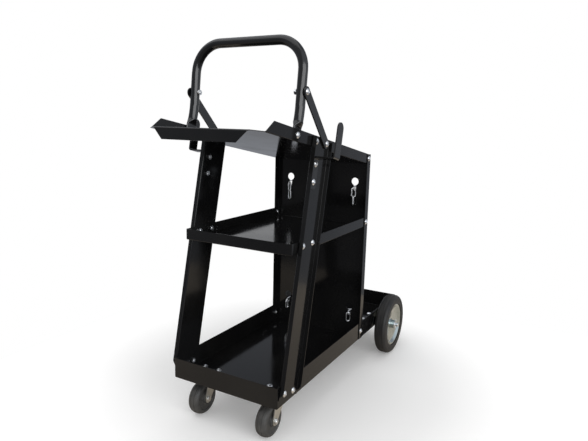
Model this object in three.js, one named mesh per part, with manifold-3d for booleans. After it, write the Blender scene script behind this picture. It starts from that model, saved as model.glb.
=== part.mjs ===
// Welding cart: a folded-sheet trolley with a tilted machine tray, a shelf, a base tray that carries a gas
// cylinder behind a chained back panel, two swivel casters in front and two fixed wheels behind.
// Millimetres. The cart stands on z = 0, its width runs along X and +Y points to its rear.
// While it is built, y = 0 is the front face of the base tray. The last lines centre it on its own box.

import * as THREE from 'three';
import { mergeVertices } from 'three/addons/utils/BufferGeometryUtils.js';
import { ConvexGeometry } from 'three/addons/geometries/ConvexGeometry.js';
import Module from 'manifold-3d';

const wasm = await Module();
wasm.setup();

// Sheet metal and fits
const SHEET = 1.5;
const LAP_GAP = 0.25;
const TRAY_WIDTH = 260;

// Base tray
const BASE_LENGTH = 692;
const BASE_FLANGE = 45;

// Middle shelf
const SHELF_FRONT = 42.5;
const SHELF_RISE = 299;
const SHELF_FLANGE = 23.5;

// Tilted top tray: the front bend line, and the fall to the rear
const TOP_FRONT = -73.5;
const TOP_RISE = 537;
const TOP_TILT = THREE.MathUtils.degToRad(9.4);
const TOP_FLANGE = 23.5;
const TOP_CORNER_INSET = 27;
const TOP_CORNER_DEPTH = 17;
const TOP_FLANGE_SLANT = 26;
const LIP_HEIGHT = 22;
const LIP_SLANT = 20;

// Back panel
const PANEL_REAR = 427.5;
const PANEL_OVER_TRAY = 0.8;
const PANEL_FLANGE = 20.5;
const PANEL_FLANGE_FOOT = 2;
const PANEL_BOLT_INSET = 13;
const KEYHOLE_INSET = 37;
const UPPER_KEYHOLE_DROP = 70;
const LOWER_KEYHOLE_RISE = 79;
const KEYHOLE_RADIUS = 9.5;
const KEYHOLE_SLOT_WIDTH = 7;
const KEYHOLE_SLOT_LENGTH = 14;

// Legs: channels that open outwards and lean back
const LEG_WIDTH = 74;
const LEG_FLANGE = 10;
const LEG_FLANGE_RISE = 4;
const LEG_FLANGE_CUT = 12;
const LEG_HEAD_DROP = 4.5;
const LEG_LEAN = THREE.MathUtils.degToRad(12.3);
const LEG_FOOT_Y = 42;
const LEG_FOOT_RISE = 20.5;
const LEG_FOOT_MARGIN = 11;
const LEG_FOOT_BOLT_PITCH = 34.5;
const LEG_SHELF_BOLT_PITCH = 40;
const LEG_TOP_BOLT_PITCH = 38;

// Cable hooks on the legs
const HOOK_WIDTH = 25;
const HOOK_BAR = 3;
const HOOK_FORWARD = 18;
const HOOK_ARM_DROP = 41.5;
const HOOK_REACH = 45;
const HOOK_UPRIGHT = 73;
const HOOK_TAB = 64;
const HOOK_BOLT_DROP = 11;
const HOOK_BOLT_PITCH = 36;

// Handle tube and its braces
const TUBE_RADIUS = 9.5;
const HANDLE_INSET = 4;
const HANDLE_END_BACK = 129;
const HANDLE_KNEE_BACK = 12;
const HANDLE_KNEE_UP = 42.3;
const HANDLE_KNEE_RUN = 11.8;
const HANDLE_TOP_BACK = 15;
const HANDLE_TOP_UP = 134;
const HANDLE_CORNER = 57;
const HANDLE_TAB = 5;
const HANDLE_TAB_HALF = 14.9;
const HANDLE_TAB_TIP = 7;
const HANDLE_TAB_CORNER = 4;
const HANDLE_TAPER = 13;
const HANDLE_TAPER_BITE = 1;
const BRACE_BOLT_UP = 37;
const BRACE_RADIUS = 10;
const BRACE_BAR = 3;

// Fasteners
const BOLT_RADIUS = 3;
const BOLT_HOLE_GAP = 0.8;
const BOLT_HEAD_RADIUS = 6.4;
const BOLT_HEAD_HEIGHT = 3.6;
const BOLT_DOME_RADIUS = 4.2;
const BOLT_DOME_RISE = 2.7;
const NUT_RADIUS = 5.4;
const NUT_HEIGHT = 4.6;

// Rear wheels and their axle
const TYRE_WIDTH = 33;
const TYRE_DEPTH = 23;
const TYRE_WALL_DROP = 9;
const TYRE_EDGE_DROP = 3;
const TYRE_EDGE_INSET = 3;
const TYRE_TREAD_INSET = 9.6;
const RIM_INSET = 3;
const RIM_FLANGE = 5;
const DISC_WEB = 3;
const DISC_DISH = 9;
const HUB_RADIUS = 11;
const AXLE_RADIUS = 5;
const AXLE_SETBACK = 112;
const AXLE_FLOOR_GAP = 0.5;
const AXLE_SPAN_CLEARANCE = 6.5;
const RUNNING_GAP = 0.3;
const AXLE_TIP = 7;
const WASHER_RADIUS = 10;
const WASHER_THICKNESS = 1.6;
const COTTER_RADIUS = 1.2;
const COTTER_LENGTH = 20;
const COTTER_EYE = 2.6;
const BRACKET_INSET = 48;
const BRACKET_WIDTH = 30;
const BRACKET_BAR = 2.5;
const BRACKET_BOLT_REACH = 24;
const BRACKET_EAR = 10;

// Swivel casters
const CASTER_INSET = 43.5;
const CASTER_Y = 58.5;
const CASTER_TRAIL = 18.5;
const CASTER_WHEEL_RADIUS = 36;
const CASTER_WHEEL_WIDTH = 27;
const CASTER_SHOULDER = 5;
const CASTER_HUB_RADIUS = 12;
const CASTER_WEB_RADIUS = 18;
const CASTER_RIM_RADIUS = 26;
const CASTER_WEB_INSET = 2.5;
const CASTER_HEADROOM = 2.65;
const CASTER_PLATE_X = 58;
const CASTER_PLATE_Y = 52;
const CASTER_PLATE = 2.5;
const CASTER_BOLT_X = 38.8;
const CASTER_BOLT_Y = 32;
const RACE_RADIUS = 19;
const RACE_HEIGHT = 5;
const KINGPIN_RADIUS = 5;
const KINGPIN_GAP = 0.6;
const KINGPIN_HEAD = 2;
const KINGPIN_HEAD_RADIUS = 8;
const FORK_BAR = 2.5;
const FORK_GAP = 1.5;
const FORK_CROWN = 19;
const FORK_EYE = 9;
const FORK_EYE_TURN = THREE.MathUtils.degToRad(12);
const FORK_CHEEK_DROP = 9.5;
const CASTER_AXLE_RADIUS = 4;
const CASTER_AXLE_HEAD = 3;
const CASTER_AXLE_HEAD_RADIUS = 6.5;
const CASTER_AXLE_TIP_RADIUS = 4.6;

// Safety chains
const CHAIN_WIRE = 2.8;
const LINK_WIDTH = 12.5;
const LINK_PITCH = 20.4;
const LINK_BITE = 0.6;
const UPPER_LOOP_SLACK = 80;
const LOWER_LOOP_SLACK = 0;
const UPPER_TAIL_LINKS = 2;
const LOWER_TAIL_LINKS = 1;

// Curve fitting: a quarter circle's pull on its corner, and the halvings that settle a chain's sag
const CORNER_PULL = 0.4477;
const SAG_HALVINGS = 40;

// Facets
const BOLT_SIDES = 6;
const ROD_SIDES = 10;
const TUBE_SIDES = 10;
const WHEEL_SIDES = 24;
const CASTER_SIDES = 16;
const ARC_STEPS = 3;
const LINK_STEPS = 1;
const HANDLE_STEPS = 32;

// Places that follow from the driving sizes
const HALF = TRAY_WIDTH / 2;
const INNER = HALF - SHEET;
const WEB_IN = HALF + LAP_GAP;
const WEB_OUT = WEB_IN + SHEET;
const HOOK_IN = WEB_OUT + LAP_GAP;
const CASTER_STACK = CASTER_PLATE + RACE_HEIGHT + RUNNING_GAP + FORK_BAR + RUNNING_GAP + KINGPIN_HEAD;
const BASE_UNDERSIDE = 2 * CASTER_WHEEL_RADIUS + CASTER_HEADROOM + CASTER_STACK + LAP_GAP;
const BASE_TOP = BASE_UNDERSIDE + BASE_FLANGE;
const BASE_FLOOR = BASE_UNDERSIDE + SHEET;
const SHELF_UNDERSIDE = BASE_UNDERSIDE + SHELF_RISE;
const TOP_FRONT_Z = BASE_UNDERSIDE + TOP_RISE;
const PANEL_FRONT = PANEL_REAR - SHEET;
const KEYHOLE_X = HALF - KEYHOLE_INSET;
const CASTER_X = HALF - CASTER_INSET;
const BRACKET_X = HALF - BRACKET_INSET;
const HANDLE_HALF_SPAN = HALF - HANDLE_INSET;
const FLANGE_BOLT_UP = (SHELF_FLANGE + SHEET) / 2;
const HOLE_RADIUS = BOLT_RADIUS + BOLT_HOLE_GAP;
const AXLE_Y = BASE_LENGTH - AXLE_SETBACK;
const AXLE_Z = BASE_UNDERSIDE - AXLE_FLOOR_GAP - AXLE_RADIUS;
const REAR_WHEEL_RADIUS = AXLE_Z;
const RIM_RADIUS = REAR_WHEEL_RADIUS - TYRE_DEPTH;
const SIDES = { left: -1, right: 1 };

// Turns a closed three.js geometry into a solid: shared corners merged, slivers dropped, faces pointing out.
function toSolid(geometry) {
  const bare = geometry.clone();
  bare.deleteAttribute('normal');
  bare.deleteAttribute('uv');
  const merged = mergeVertices(bare);
  const at = merged.attributes.position.array;
  const faces = [];
  let volume = 0;
  for (let i = 0; i < merged.index.count; i += 3) {
    const [a, b, c] = merged.index.array.slice(i, i + 3);
    if (a === b || b === c || c === a) continue;
    faces.push([a, b, c]);
    const [p, q, r] = [a, b, c].map((k) => new THREE.Vector3().fromArray(at, 3 * k));
    volume += p.dot(q.cross(r));
  }
  const triVerts = new Uint32Array(faces.flatMap(([a, b, c]) => (volume > 0 ? [a, b, c] : [a, c, b])));
  return new wasm.Manifold(new wasm.Mesh({ numProp: 3, vertProperties: new Float32Array(at), triVerts }));
}

// Turns a solid back into a three.js geometry.
function toGeometry(solid) {
  const mesh = asSolid(solid).getMesh();
  const geometry = new THREE.BufferGeometry();
  geometry.setAttribute('position', new THREE.BufferAttribute(mesh.vertProperties, 3));
  geometry.setIndex(new THREE.BufferAttribute(mesh.triVerts, 1));
  return geometry;
}

const asSolid = (item) => (item.isBufferGeometry ? toSolid(item) : item);
const join = (...items) => items.map(asSolid).reduce((whole, item) => whole.add(item));
const cut = (body, ...tools) => tools.map(asSolid).reduce((rest, tool) => rest.subtract(tool), asSolid(body));

// Paints
const PAINT = { color: 0x0b0b0c, roughness: 0.22, metalness: 0 };
const ZINC = { color: 0xb4b8bb, roughness: 0.35, metalness: 1 };
const RUBBER = { color: 0x1d1d1e, roughness: 0.75, metalness: 0 };
const cart = new THREE.Group();

// Adds one named piece, made from a solid, to the cart.
function piece(name, solid, paint) {
  const geometry = toGeometry(solid);
  geometry.computeVertexNormals();
  const node = new THREE.Mesh(geometry, new THREE.MeshStandardMaterial(paint));
  node.name = name;
  cart.add(node);
}

// Basic forms
function box(x0, x1, y0, y1, z0, z1) {
  const geometry = new THREE.BoxGeometry(Math.abs(x1 - x0), Math.abs(y1 - y0), Math.abs(z1 - z0));
  return geometry.translate((x0 + x1) / 2, (y0 + y1) / 2, (z0 + z1) / 2);
}

const BASIS_X = new THREE.Matrix4().set(0, 0, 1, 0, 1, 0, 0, 0, 0, 1, 0, 0, 0, 0, 0, 1);
const BASIS_Y = new THREE.Matrix4().set(1, 0, 0, 0, 0, 0, -1, 0, 0, 1, 0, 0, 0, 0, 0, 1);

// A plate with a (y, z) outline between x = a and x = b.
function plateX(outline, a, b) {
  const options = { depth: Math.abs(b - a), bevelEnabled: false, curveSegments: ARC_STEPS };
  return new THREE.ExtrudeGeometry(outline, options).applyMatrix4(BASIS_X).translate(Math.min(a, b), 0, 0);
}

// A plate with an (x, z) outline between y = a and y = b.
function plateY(outline, a, b) {
  const options = { depth: Math.abs(b - a), bevelEnabled: false, curveSegments: ARC_STEPS };
  return new THREE.ExtrudeGeometry(outline, options).applyMatrix4(BASIS_Y).translate(0, Math.max(a, b), 0);
}

// A plate with an (x, y) outline between z = a and z = b.
function plateZ(outline, a, b) {
  const options = { depth: Math.abs(b - a), bevelEnabled: false, curveSegments: ARC_STEPS };
  return new THREE.ExtrudeGeometry(outline, options).translate(0, 0, Math.min(a, b));
}

const polygon = (points) => new THREE.Shape(points.map(([u, v]) => new THREE.Vector2(u, v)));

// A flat bar with round ends of the given radius about the points p and q.
function roundBar(p, q, radius) {
  const turn = Math.atan2(q[1] - p[1], q[0] - p[0]);
  const shape = new THREE.Shape();
  shape.absarc(p[0], p[1], radius, turn + Math.PI / 2, turn + 1.5 * Math.PI, false);
  shape.absarc(q[0], q[1], radius, turn - Math.PI / 2, turn + Math.PI / 2, false);
  shape.closePath();
  return shape;
}

// A round rod along X.
function rodX(radius, a, b, y, z, sides = ROD_SIDES) {
  const rod = new THREE.CylinderGeometry(radius, radius, Math.abs(b - a), sides);
  return rod.rotateZ(-Math.PI / 2).translate((a + b) / 2, y, z);
}

// A round rod along Z.
function rodZ(radius, a, b, x, y, sides = ROD_SIDES) {
  const rod = new THREE.CylinderGeometry(radius, radius, Math.abs(b - a), sides);
  return rod.rotateX(Math.PI / 2).translate(x, y, (a + b) / 2);
}

// A turned form about an X axis: the profile holds [radius, distance along X] pairs.
function turnedX(profile, direction, x, y, z, sides) {
  const lathe = new THREE.LatheGeometry(profile.map(([r, d]) => new THREE.Vector2(r, d)), sides);
  return lathe.rotateZ(-direction * Math.PI / 2).translate(x, y, z);
}

const holeX = (y, z) => rodX(HOLE_RADIUS, -2 * TRAY_WIDTH, 2 * TRAY_WIDTH, y, z, BOLT_SIDES);
const holeZ = (x, y, z0, z1) => rodZ(HOLE_RADIUS, z0, z1, x, y, BOLT_SIDES);

// A domed bolt through one side of the cart, with its nut: outer and inner are the faces that it clamps.
function boltX(side, outer, inner, { y, z }) {
  const seat = outer + LAP_GAP;
  const nut = inner - LAP_GAP;
  const profile = [
    [0, seat + BOLT_HEAD_HEIGHT],
    [BOLT_DOME_RADIUS, seat + BOLT_DOME_RISE],
    [BOLT_HEAD_RADIUS, seat],
    [BOLT_RADIUS, seat],
    [BOLT_RADIUS, nut],
    [NUT_RADIUS, nut],
    [NUT_RADIUS, nut - NUT_HEIGHT],
    [0, nut - NUT_HEIGHT],
  ];
  return turnedX(profile, side, 0, y, z, BOLT_SIDES);
}

// The domed head and shank of a bolt that stands up through the base floor from below.
function floorBolt(x, y, from) {
  const seat = BASE_FLOOR + LAP_GAP;
  const dome = new THREE.LatheGeometry([
    new THREE.Vector2(0, from),
    new THREE.Vector2(BOLT_RADIUS, from),
    new THREE.Vector2(BOLT_RADIUS, seat),
    new THREE.Vector2(BOLT_HEAD_RADIUS, seat),
    new THREE.Vector2(BOLT_DOME_RADIUS, seat + BOLT_DOME_RISE),
    new THREE.Vector2(0, seat + BOLT_HEAD_HEIGHT),
  ], BOLT_SIDES);
  return dome.rotateX(Math.PI / 2).translate(x, y, 0);
}

// The top tray's own frame: s runs down its floor from the front bend, n stands square to the floor.
const inTopTray = (solid) => toGeometry(solid).rotateX(-TOP_TILT).translate(0, TOP_FRONT, TOP_FRONT_Z);
function topPoint(s, n) {
  return {
    y: TOP_FRONT + s * Math.cos(TOP_TILT) + n * Math.sin(TOP_TILT),
    z: TOP_FRONT_Z - s * Math.sin(TOP_TILT) + n * Math.cos(TOP_TILT),
  };
}
const topHeight = ({ y, z }) => (y - TOP_FRONT) * Math.sin(TOP_TILT) + (z - TOP_FRONT_Z) * Math.cos(TOP_TILT);
const topLength = ({ y, z }) => (y - TOP_FRONT) * Math.cos(TOP_TILT) - (z - TOP_FRONT_Z) * Math.sin(TOP_TILT);
// How far down the tray's floor a point lies that has the given y and height n.
const topLengthAt = (y, n) => (y - TOP_FRONT - n * Math.sin(TOP_TILT)) / Math.cos(TOP_TILT);
const topEnd = topLengthAt(PANEL_FRONT - LAP_GAP, TOP_FLANGE);
const PANEL_TOP = topPoint(topEnd, TOP_FLANGE).z + PANEL_OVER_TRAY;

// A leg's own frame: v runs across its web, u runs up its length from the foot bolts.
const LEG_FOOT_Z = BASE_UNDERSIDE + LEG_FOOT_RISE;
const inLeg = (solid) => toGeometry(solid).rotateX(-LEG_LEAN).translate(0, LEG_FOOT_Y, LEG_FOOT_Z);
function legPoint(v, u) {
  return {
    y: LEG_FOOT_Y + v * Math.cos(LEG_LEAN) + u * Math.sin(LEG_LEAN),
    z: LEG_FOOT_Z - v * Math.sin(LEG_LEAN) + u * Math.cos(LEG_LEAN),
  };
}
// How far up the leg its middle line reaches a height n over the top tray's floor.
const legUpTo = (n) => (n - topHeight(legPoint(0, 0))) / Math.cos(LEG_LEAN - TOP_TILT);

// Bolt places, seen from the side
const shelfBoltZ = SHELF_UNDERSIDE + FLANGE_BOLT_UP;
const legAtShelf = LEG_FOOT_Y + (shelfBoltZ - LEG_FOOT_Z) * Math.tan(LEG_LEAN);
const topBoltUp = (TOP_FLANGE + SHEET) / 2;
const legAtTop = topLength(legPoint(0, legUpTo(topBoltUp)));
const panelBoltY = PANEL_REAR - PANEL_BOLT_INSET;
const legHead = legUpTo(TOP_FLANGE - LEG_HEAD_DROP);
const hookArmUp = legHead - HOOK_ARM_DROP;
const hookBoltUp = hookArmUp - HOOK_BOLT_DROP;
const handleEnd = topPoint(HANDLE_END_BACK, topBoltUp);
const knee = { y: handleEnd.y + HANDLE_KNEE_BACK, z: handleEnd.z + HANDLE_KNEE_UP };
const handleTopY = knee.y + HANDLE_TOP_BACK;
const handleTopZ = knee.z + HANDLE_TOP_UP;
const leanAt = (z) => knee.y + (z - knee.z) * HANDLE_TOP_BACK / HANDLE_TOP_UP;
const braceTopZ = knee.z + BRACE_BOLT_UP;
const PLACES = {
  leg_top_front: topPoint(legAtTop - LEG_TOP_BOLT_PITCH / 2, topBoltUp),
  brace_foot: topPoint(legAtTop + LEG_TOP_BOLT_PITCH / 2, topBoltUp),
  hook_upper: legPoint(-HOOK_FORWARD, hookBoltUp),
  hook_lower: legPoint(-HOOK_FORWARD, hookBoltUp - HOOK_BOLT_PITCH),
  shelf_front: { y: legAtShelf - LEG_SHELF_BOLT_PITCH / 2, z: shelfBoltZ },
  shelf_rear: { y: legAtShelf + LEG_SHELF_BOLT_PITCH / 2, z: shelfBoltZ },
  foot_front: legPoint(-LEG_FOOT_BOLT_PITCH / 2, 0),
  foot_rear: legPoint(LEG_FOOT_BOLT_PITCH / 2, 0),
  panel_top: topPoint(topLengthAt(panelBoltY, topBoltUp), topBoltUp),
  panel_middle: { y: panelBoltY, z: shelfBoltZ },
  panel_bottom: { y: panelBoltY, z: BASE_UNDERSIDE + BASE_FLANGE / 2 },
  handle_end: handleEnd,
  brace_top: { y: leanAt(braceTopZ), z: braceTopZ },
};
const holesAt = (...names) => names.map((name) => holeX(PLACES[name].y, PLACES[name].z));

// Base tray: a floor with four upturned flanges, bored for everything that is bolted to it.
const pairs = (first, second) => first.flatMap((one) => second.map((other) => [one, other]));
const ENDS = [-1, 1];
const casterBolts = pairs(ENDS, pairs(ENDS, ENDS)).map(([side, [across, along]]) => ({
  side,
  x: side * CASTER_X + (across * CASTER_BOLT_X) / 2,
  y: CASTER_Y + (along * CASTER_BOLT_Y) / 2,
}));
const bracketBolts = pairs(ENDS, ENDS).map(([side, along]) => ({
  side,
  x: side * BRACKET_X,
  y: AXLE_Y + along * BRACKET_BOLT_REACH,
}));
const floorHoles = [...casterBolts, ...bracketBolts].map(
  ({ x, y }) => holeZ(x, y, BASE_UNDERSIDE - SHEET, BASE_TOP),
);
piece('bottom_tray', cut(
  box(-HALF, HALF, 0, BASE_LENGTH, BASE_UNDERSIDE, BASE_TOP),
  box(-INNER, INNER, SHEET, BASE_LENGTH - SHEET, BASE_FLOOR, BASE_TOP + SHEET),
  ...floorHoles,
  ...holesAt('foot_front', 'foot_rear', 'panel_bottom'),
), PAINT);

// Middle shelf: it ends against the front of the back panel.
const shelfRear = PANEL_FRONT - LAP_GAP;
const shelfTop = SHELF_UNDERSIDE + SHELF_FLANGE;
piece('middle_shelf', cut(
  box(-HALF, HALF, SHELF_FRONT, shelfRear, SHELF_UNDERSIDE, shelfTop),
  box(-INNER, INNER, SHELF_FRONT + SHEET, shelfRear - SHEET, SHELF_UNDERSIDE + SHEET, shelfTop + SHEET),
  ...holesAt('shelf_front', 'shelf_rear', 'panel_middle'),
), PAINT);

// Top tray: side flanges and a rear flange turned up, a short front lip turned down.
const lipHalf = HALF - TOP_CORNER_INSET;
const topFloor = polygon([
  [-HALF, TOP_CORNER_DEPTH], [-lipHalf, 0], [lipHalf, 0], [HALF, TOP_CORNER_DEPTH],
  [HALF, topEnd], [-HALF, topEnd],
]);
const topSide = polygon([
  [TOP_CORNER_DEPTH, 0], [topEnd, 0], [topEnd, TOP_FLANGE], [TOP_CORNER_DEPTH + TOP_FLANGE_SLANT, TOP_FLANGE],
]);
const topLip = polygon([[-lipHalf, SHEET], [-lipHalf, 0], [LIP_SLANT - lipHalf, -LIP_HEIGHT],
  [lipHalf - LIP_SLANT, -LIP_HEIGHT], [lipHalf, 0], [lipHalf, SHEET]]);
piece('top_tray', cut(
  inTopTray(join(
    plateZ(topFloor, 0, SHEET),
    plateX(topSide, -HALF, -INNER),
    plateX(topSide, INNER, HALF),
    plateY(topLip, 0, SHEET),
    box(-HALF, HALF, topEnd - SHEET, topEnd, 0, TOP_FLANGE),
  )),
  ...holesAt('leg_top_front', 'brace_foot', 'panel_top', 'handle_end'),
), PAINT);

// Back panel: side flanges lap the trays from outside, the face stands on the base floor between its flanges.
function keyhole(x, z) {
  const slotEnd = z - KEYHOLE_RADIUS - KEYHOLE_SLOT_LENGTH + KEYHOLE_SLOT_WIDTH / 2;
  const outline = roundBar([x, z], [x, slotEnd], KEYHOLE_SLOT_WIDTH / 2);
  const slot = plateY(outline, PANEL_FRONT - SHEET, PANEL_REAR + SHEET);
  const round = new THREE.CylinderGeometry(KEYHOLE_RADIUS, KEYHOLE_RADIUS, 3 * SHEET, 2 * ROD_SIDES);
  return join(slot, round.translate(x, (PANEL_FRONT + PANEL_REAR) / 2, z));
}
const panelFoot = BASE_FLOOR + LAP_GAP;
const flangeFoot = BASE_UNDERSIDE + PANEL_FLANGE_FOOT;
const keyholeHeights = {
  upper: PANEL_TOP - UPPER_KEYHOLE_DROP,
  lower: BASE_UNDERSIDE + LOWER_KEYHOLE_RISE,
};
const panelParts = [box(-WEB_OUT, WEB_OUT, PANEL_FRONT, PANEL_REAR, panelFoot, PANEL_TOP)];
const panelCuts = holesAt('panel_top', 'panel_middle', 'panel_bottom');
for (const side of Object.values(SIDES)) {
  const [web, tip] = [side * WEB_IN, side * WEB_OUT];
  panelParts.push(box(web, tip, PANEL_REAR - PANEL_FLANGE, PANEL_REAR, flangeFoot, PANEL_TOP));
  const slit = side * (INNER - LAP_GAP);
  const [slitFront, slitRear] = [PANEL_FRONT - SHEET, PANEL_REAR + SHEET];
  panelCuts.push(box(slit, web, slitFront, slitRear, BASE_UNDERSIDE, BASE_TOP + LAP_GAP));
  for (const z of Object.values(keyholeHeights)) {
    panelCuts.push(keyhole(side * KEYHOLE_X, z));
  }
}
piece('back_panel', cut(join(...panelParts), ...panelCuts), PAINT);

// Legs: web against the trays, flanges turned outwards, their feet cut on a slant above the foot of the web.
const legFoot = -LEG_FOOT_MARGIN;
const legFlangeFoot = legFoot + LEG_FLANGE_RISE;
const LEG_HALF = LEG_WIDTH / 2;
const legBolts = ['leg_top_front', 'brace_foot', 'hook_upper', 'hook_lower', 'shelf_front', 'shelf_rear',
  'foot_front', 'foot_rear'];
for (const [name, side] of Object.entries(SIDES)) {
  const tip = side * (WEB_IN + LEG_FLANGE);
  const flange = polygon([
    [side * WEB_IN, legFlangeFoot], [tip, legFlangeFoot + LEG_FLANGE_CUT],
    [tip, legHead], [side * WEB_IN, legHead],
  ]);
  piece(`${name}_leg`, cut(
    inLeg(join(
      box(side * WEB_IN, side * WEB_OUT, -LEG_HALF, LEG_HALF, legFoot, legHead),
      plateY(flange, -LEG_HALF, SHEET - LEG_HALF),
      plateY(flange, LEG_HALF - SHEET, LEG_HALF),
    )),
    ...holesAt(...legBolts),
  ), PAINT);
}

// Cable hooks: a bolted tab, an arm that stands out and a round-topped upright.
const hookOut = HOOK_IN + HOOK_BAR;
const hookTip = hookOut + HOOK_REACH;
const hookSide = HOOK_WIDTH / 2;
const hookArmTop = hookArmUp + HOOK_BAR;
const uprightEnd = hookArmUp + HOOK_UPRIGHT - hookSide;
const [near, far] = [-HOOK_FORWARD - hookSide, -HOOK_FORWARD + hookSide];
const upright = new THREE.Shape();
upright.moveTo(near, hookArmUp);
upright.lineTo(far, hookArmUp);
upright.absarc(-HOOK_FORWARD, uprightEnd, hookSide, 0, Math.PI, false);
upright.closePath();
for (const [name, side] of Object.entries(SIDES)) {
  piece(`${name}_cable_hook`, cut(
    inLeg(join(
      box(side * HOOK_IN, side * hookOut, near, far, hookArmTop - HOOK_TAB, hookArmTop),
      box(side * HOOK_IN, side * hookTip, near, far, hookArmUp, hookArmTop),
      plateX(upright, side * (hookTip - HOOK_BAR), side * hookTip),
    )),
    ...holesAt('hook_upper', 'hook_lower'),
  ), PAINT);
}

// Handle: one bent tube whose flattened ends are bolted inside the top tray's flanges.
const tabOut = INNER - LAP_GAP;
const tabIn = tabOut - HANDLE_TAB;
const legDirection = new THREE.Vector2(HANDLE_KNEE_BACK, HANDLE_KNEE_UP).normalize();
const tabSkew = Math.atan2(legDirection.x, legDirection.y) - TOP_TILT;
const tabClear = TOP_FLANGE + LAP_GAP + HANDLE_TAB_HALF * Math.abs(Math.sin(tabSkew));
const tabReach = (tabClear - topHeight(handleEnd)) / Math.cos(tabSkew);
const along = (run) => [handleEnd.y + legDirection.x * run, handleEnd.z + legDirection.y * run];
const tubeStart = along(tabReach + HANDLE_TAPER);
const handlePoint = (side, x, y, z) => new THREE.Vector3(side * x, y, z);
const kneeIn = along((HANDLE_KNEE_UP - HANDLE_KNEE_RUN) / legDirection.y);
const kneeOutZ = knee.z + HANDLE_KNEE_RUN;
const cornerZ = handleTopZ - HANDLE_CORNER;
// The corners of the tube's middle line on one side, from its flat end up to the top bar.
function handleLeg(side) {
  const span = HANDLE_HALF_SPAN;
  const start = handlePoint(side, span, ...tubeStart);
  const low = handlePoint(side, span, ...kneeIn);
  const bend = handlePoint(side, span, knee.y, knee.z);
  const high = handlePoint(side, span, leanAt(kneeOutZ), kneeOutZ);
  const turn = handlePoint(side, span, leanAt(cornerZ), cornerZ);
  const pullZ = handleTopZ - HANDLE_CORNER * CORNER_PULL;
  const pullUp = handlePoint(side, span, leanAt(pullZ), pullZ);
  const pullIn = handlePoint(side, span - HANDLE_CORNER * CORNER_PULL, handleTopY, handleTopZ);
  const top = handlePoint(side, span - HANDLE_CORNER, handleTopY, handleTopZ);
  return { start, low, bend, high, turn, pullUp, pullIn, top };
}
const [leftRun, rightRun] = [handleLeg(SIDES.left), handleLeg(SIDES.right)];
const route = new THREE.CurvePath();
route.add(new THREE.LineCurve3(leftRun.start, leftRun.low));
route.add(new THREE.QuadraticBezierCurve3(leftRun.low, leftRun.bend, leftRun.high));
route.add(new THREE.LineCurve3(leftRun.high, leftRun.turn));
route.add(new THREE.CubicBezierCurve3(leftRun.turn, leftRun.pullUp, leftRun.pullIn, leftRun.top));
route.add(new THREE.LineCurve3(leftRun.top, rightRun.top));
route.add(new THREE.CubicBezierCurve3(rightRun.top, rightRun.pullIn, rightRun.pullUp, rightRun.turn));
route.add(new THREE.LineCurve3(rightRun.turn, rightRun.high));
route.add(new THREE.QuadraticBezierCurve3(rightRun.high, rightRun.bend, rightRun.low));
route.add(new THREE.LineCurve3(rightRun.low, rightRun.start));
const ring = new THREE.Shape();
ring.absarc(0, 0, TUBE_RADIUS, 0, 2 * Math.PI, false);
const tubeOptions = { extrudePath: route, steps: HANDLE_STEPS, curveSegments: TUBE_SIDES / 2 };
const tube = new THREE.ExtrudeGeometry(ring, tubeOptions);

// A point of the flat end, a given run up from its bolt and a given way across it.
function onTab(across, run) {
  const [y, z] = along(run);
  return [y + across * legDirection.y, z - across * legDirection.x];
}
// The squeezed stretch between the round tube and a flat end.
function taper(side) {
  const points = [];
  const tilt = Math.atan2(legDirection.x, legDirection.y);
  for (let i = 0; i < TUBE_SIDES; i += 1) {
    const angle = (2 * Math.PI * i) / TUBE_SIDES;
    const ringPoint = new THREE.Vector3(Math.cos(angle), Math.sin(angle), 0).multiplyScalar(TUBE_RADIUS);
    ringPoint.setZ(HANDLE_TAPER_BITE).applyAxisAngle(new THREE.Vector3(1, 0, 0), -tilt);
    points.push(ringPoint.add(handlePoint(side, HANDLE_HALF_SPAN, ...tubeStart)));
  }
  for (const x of [tabIn, tabOut]) {
    for (const across of [-HANDLE_TAB_HALF, HANDLE_TAB_HALF]) {
      points.push(handlePoint(side, x, ...onTab(across, tabReach)));
    }
  }
  return new ConvexGeometry(points);
}
const tipIn = HANDLE_TAB_HALF - HANDLE_TAB_CORNER;
const flatEnd = polygon([
  onTab(-HANDLE_TAB_HALF, tabReach),
  onTab(-HANDLE_TAB_HALF, HANDLE_TAB_CORNER - HANDLE_TAB_TIP),
  onTab(-tipIn, -HANDLE_TAB_TIP),
  onTab(tipIn, -HANDLE_TAB_TIP),
  onTab(HANDLE_TAB_HALF, HANDLE_TAB_CORNER - HANDLE_TAB_TIP),
  onTab(HANDLE_TAB_HALF, tabReach),
]);
const handleParts = [tube];
for (const side of Object.values(SIDES)) {
  handleParts.push(taper(side));
  handleParts.push(plateX(flatEnd, side * tabIn, side * tabOut));
}
piece('handle_tube', cut(join(...handleParts), ...holesAt('handle_end', 'brace_top')), PAINT);

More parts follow.
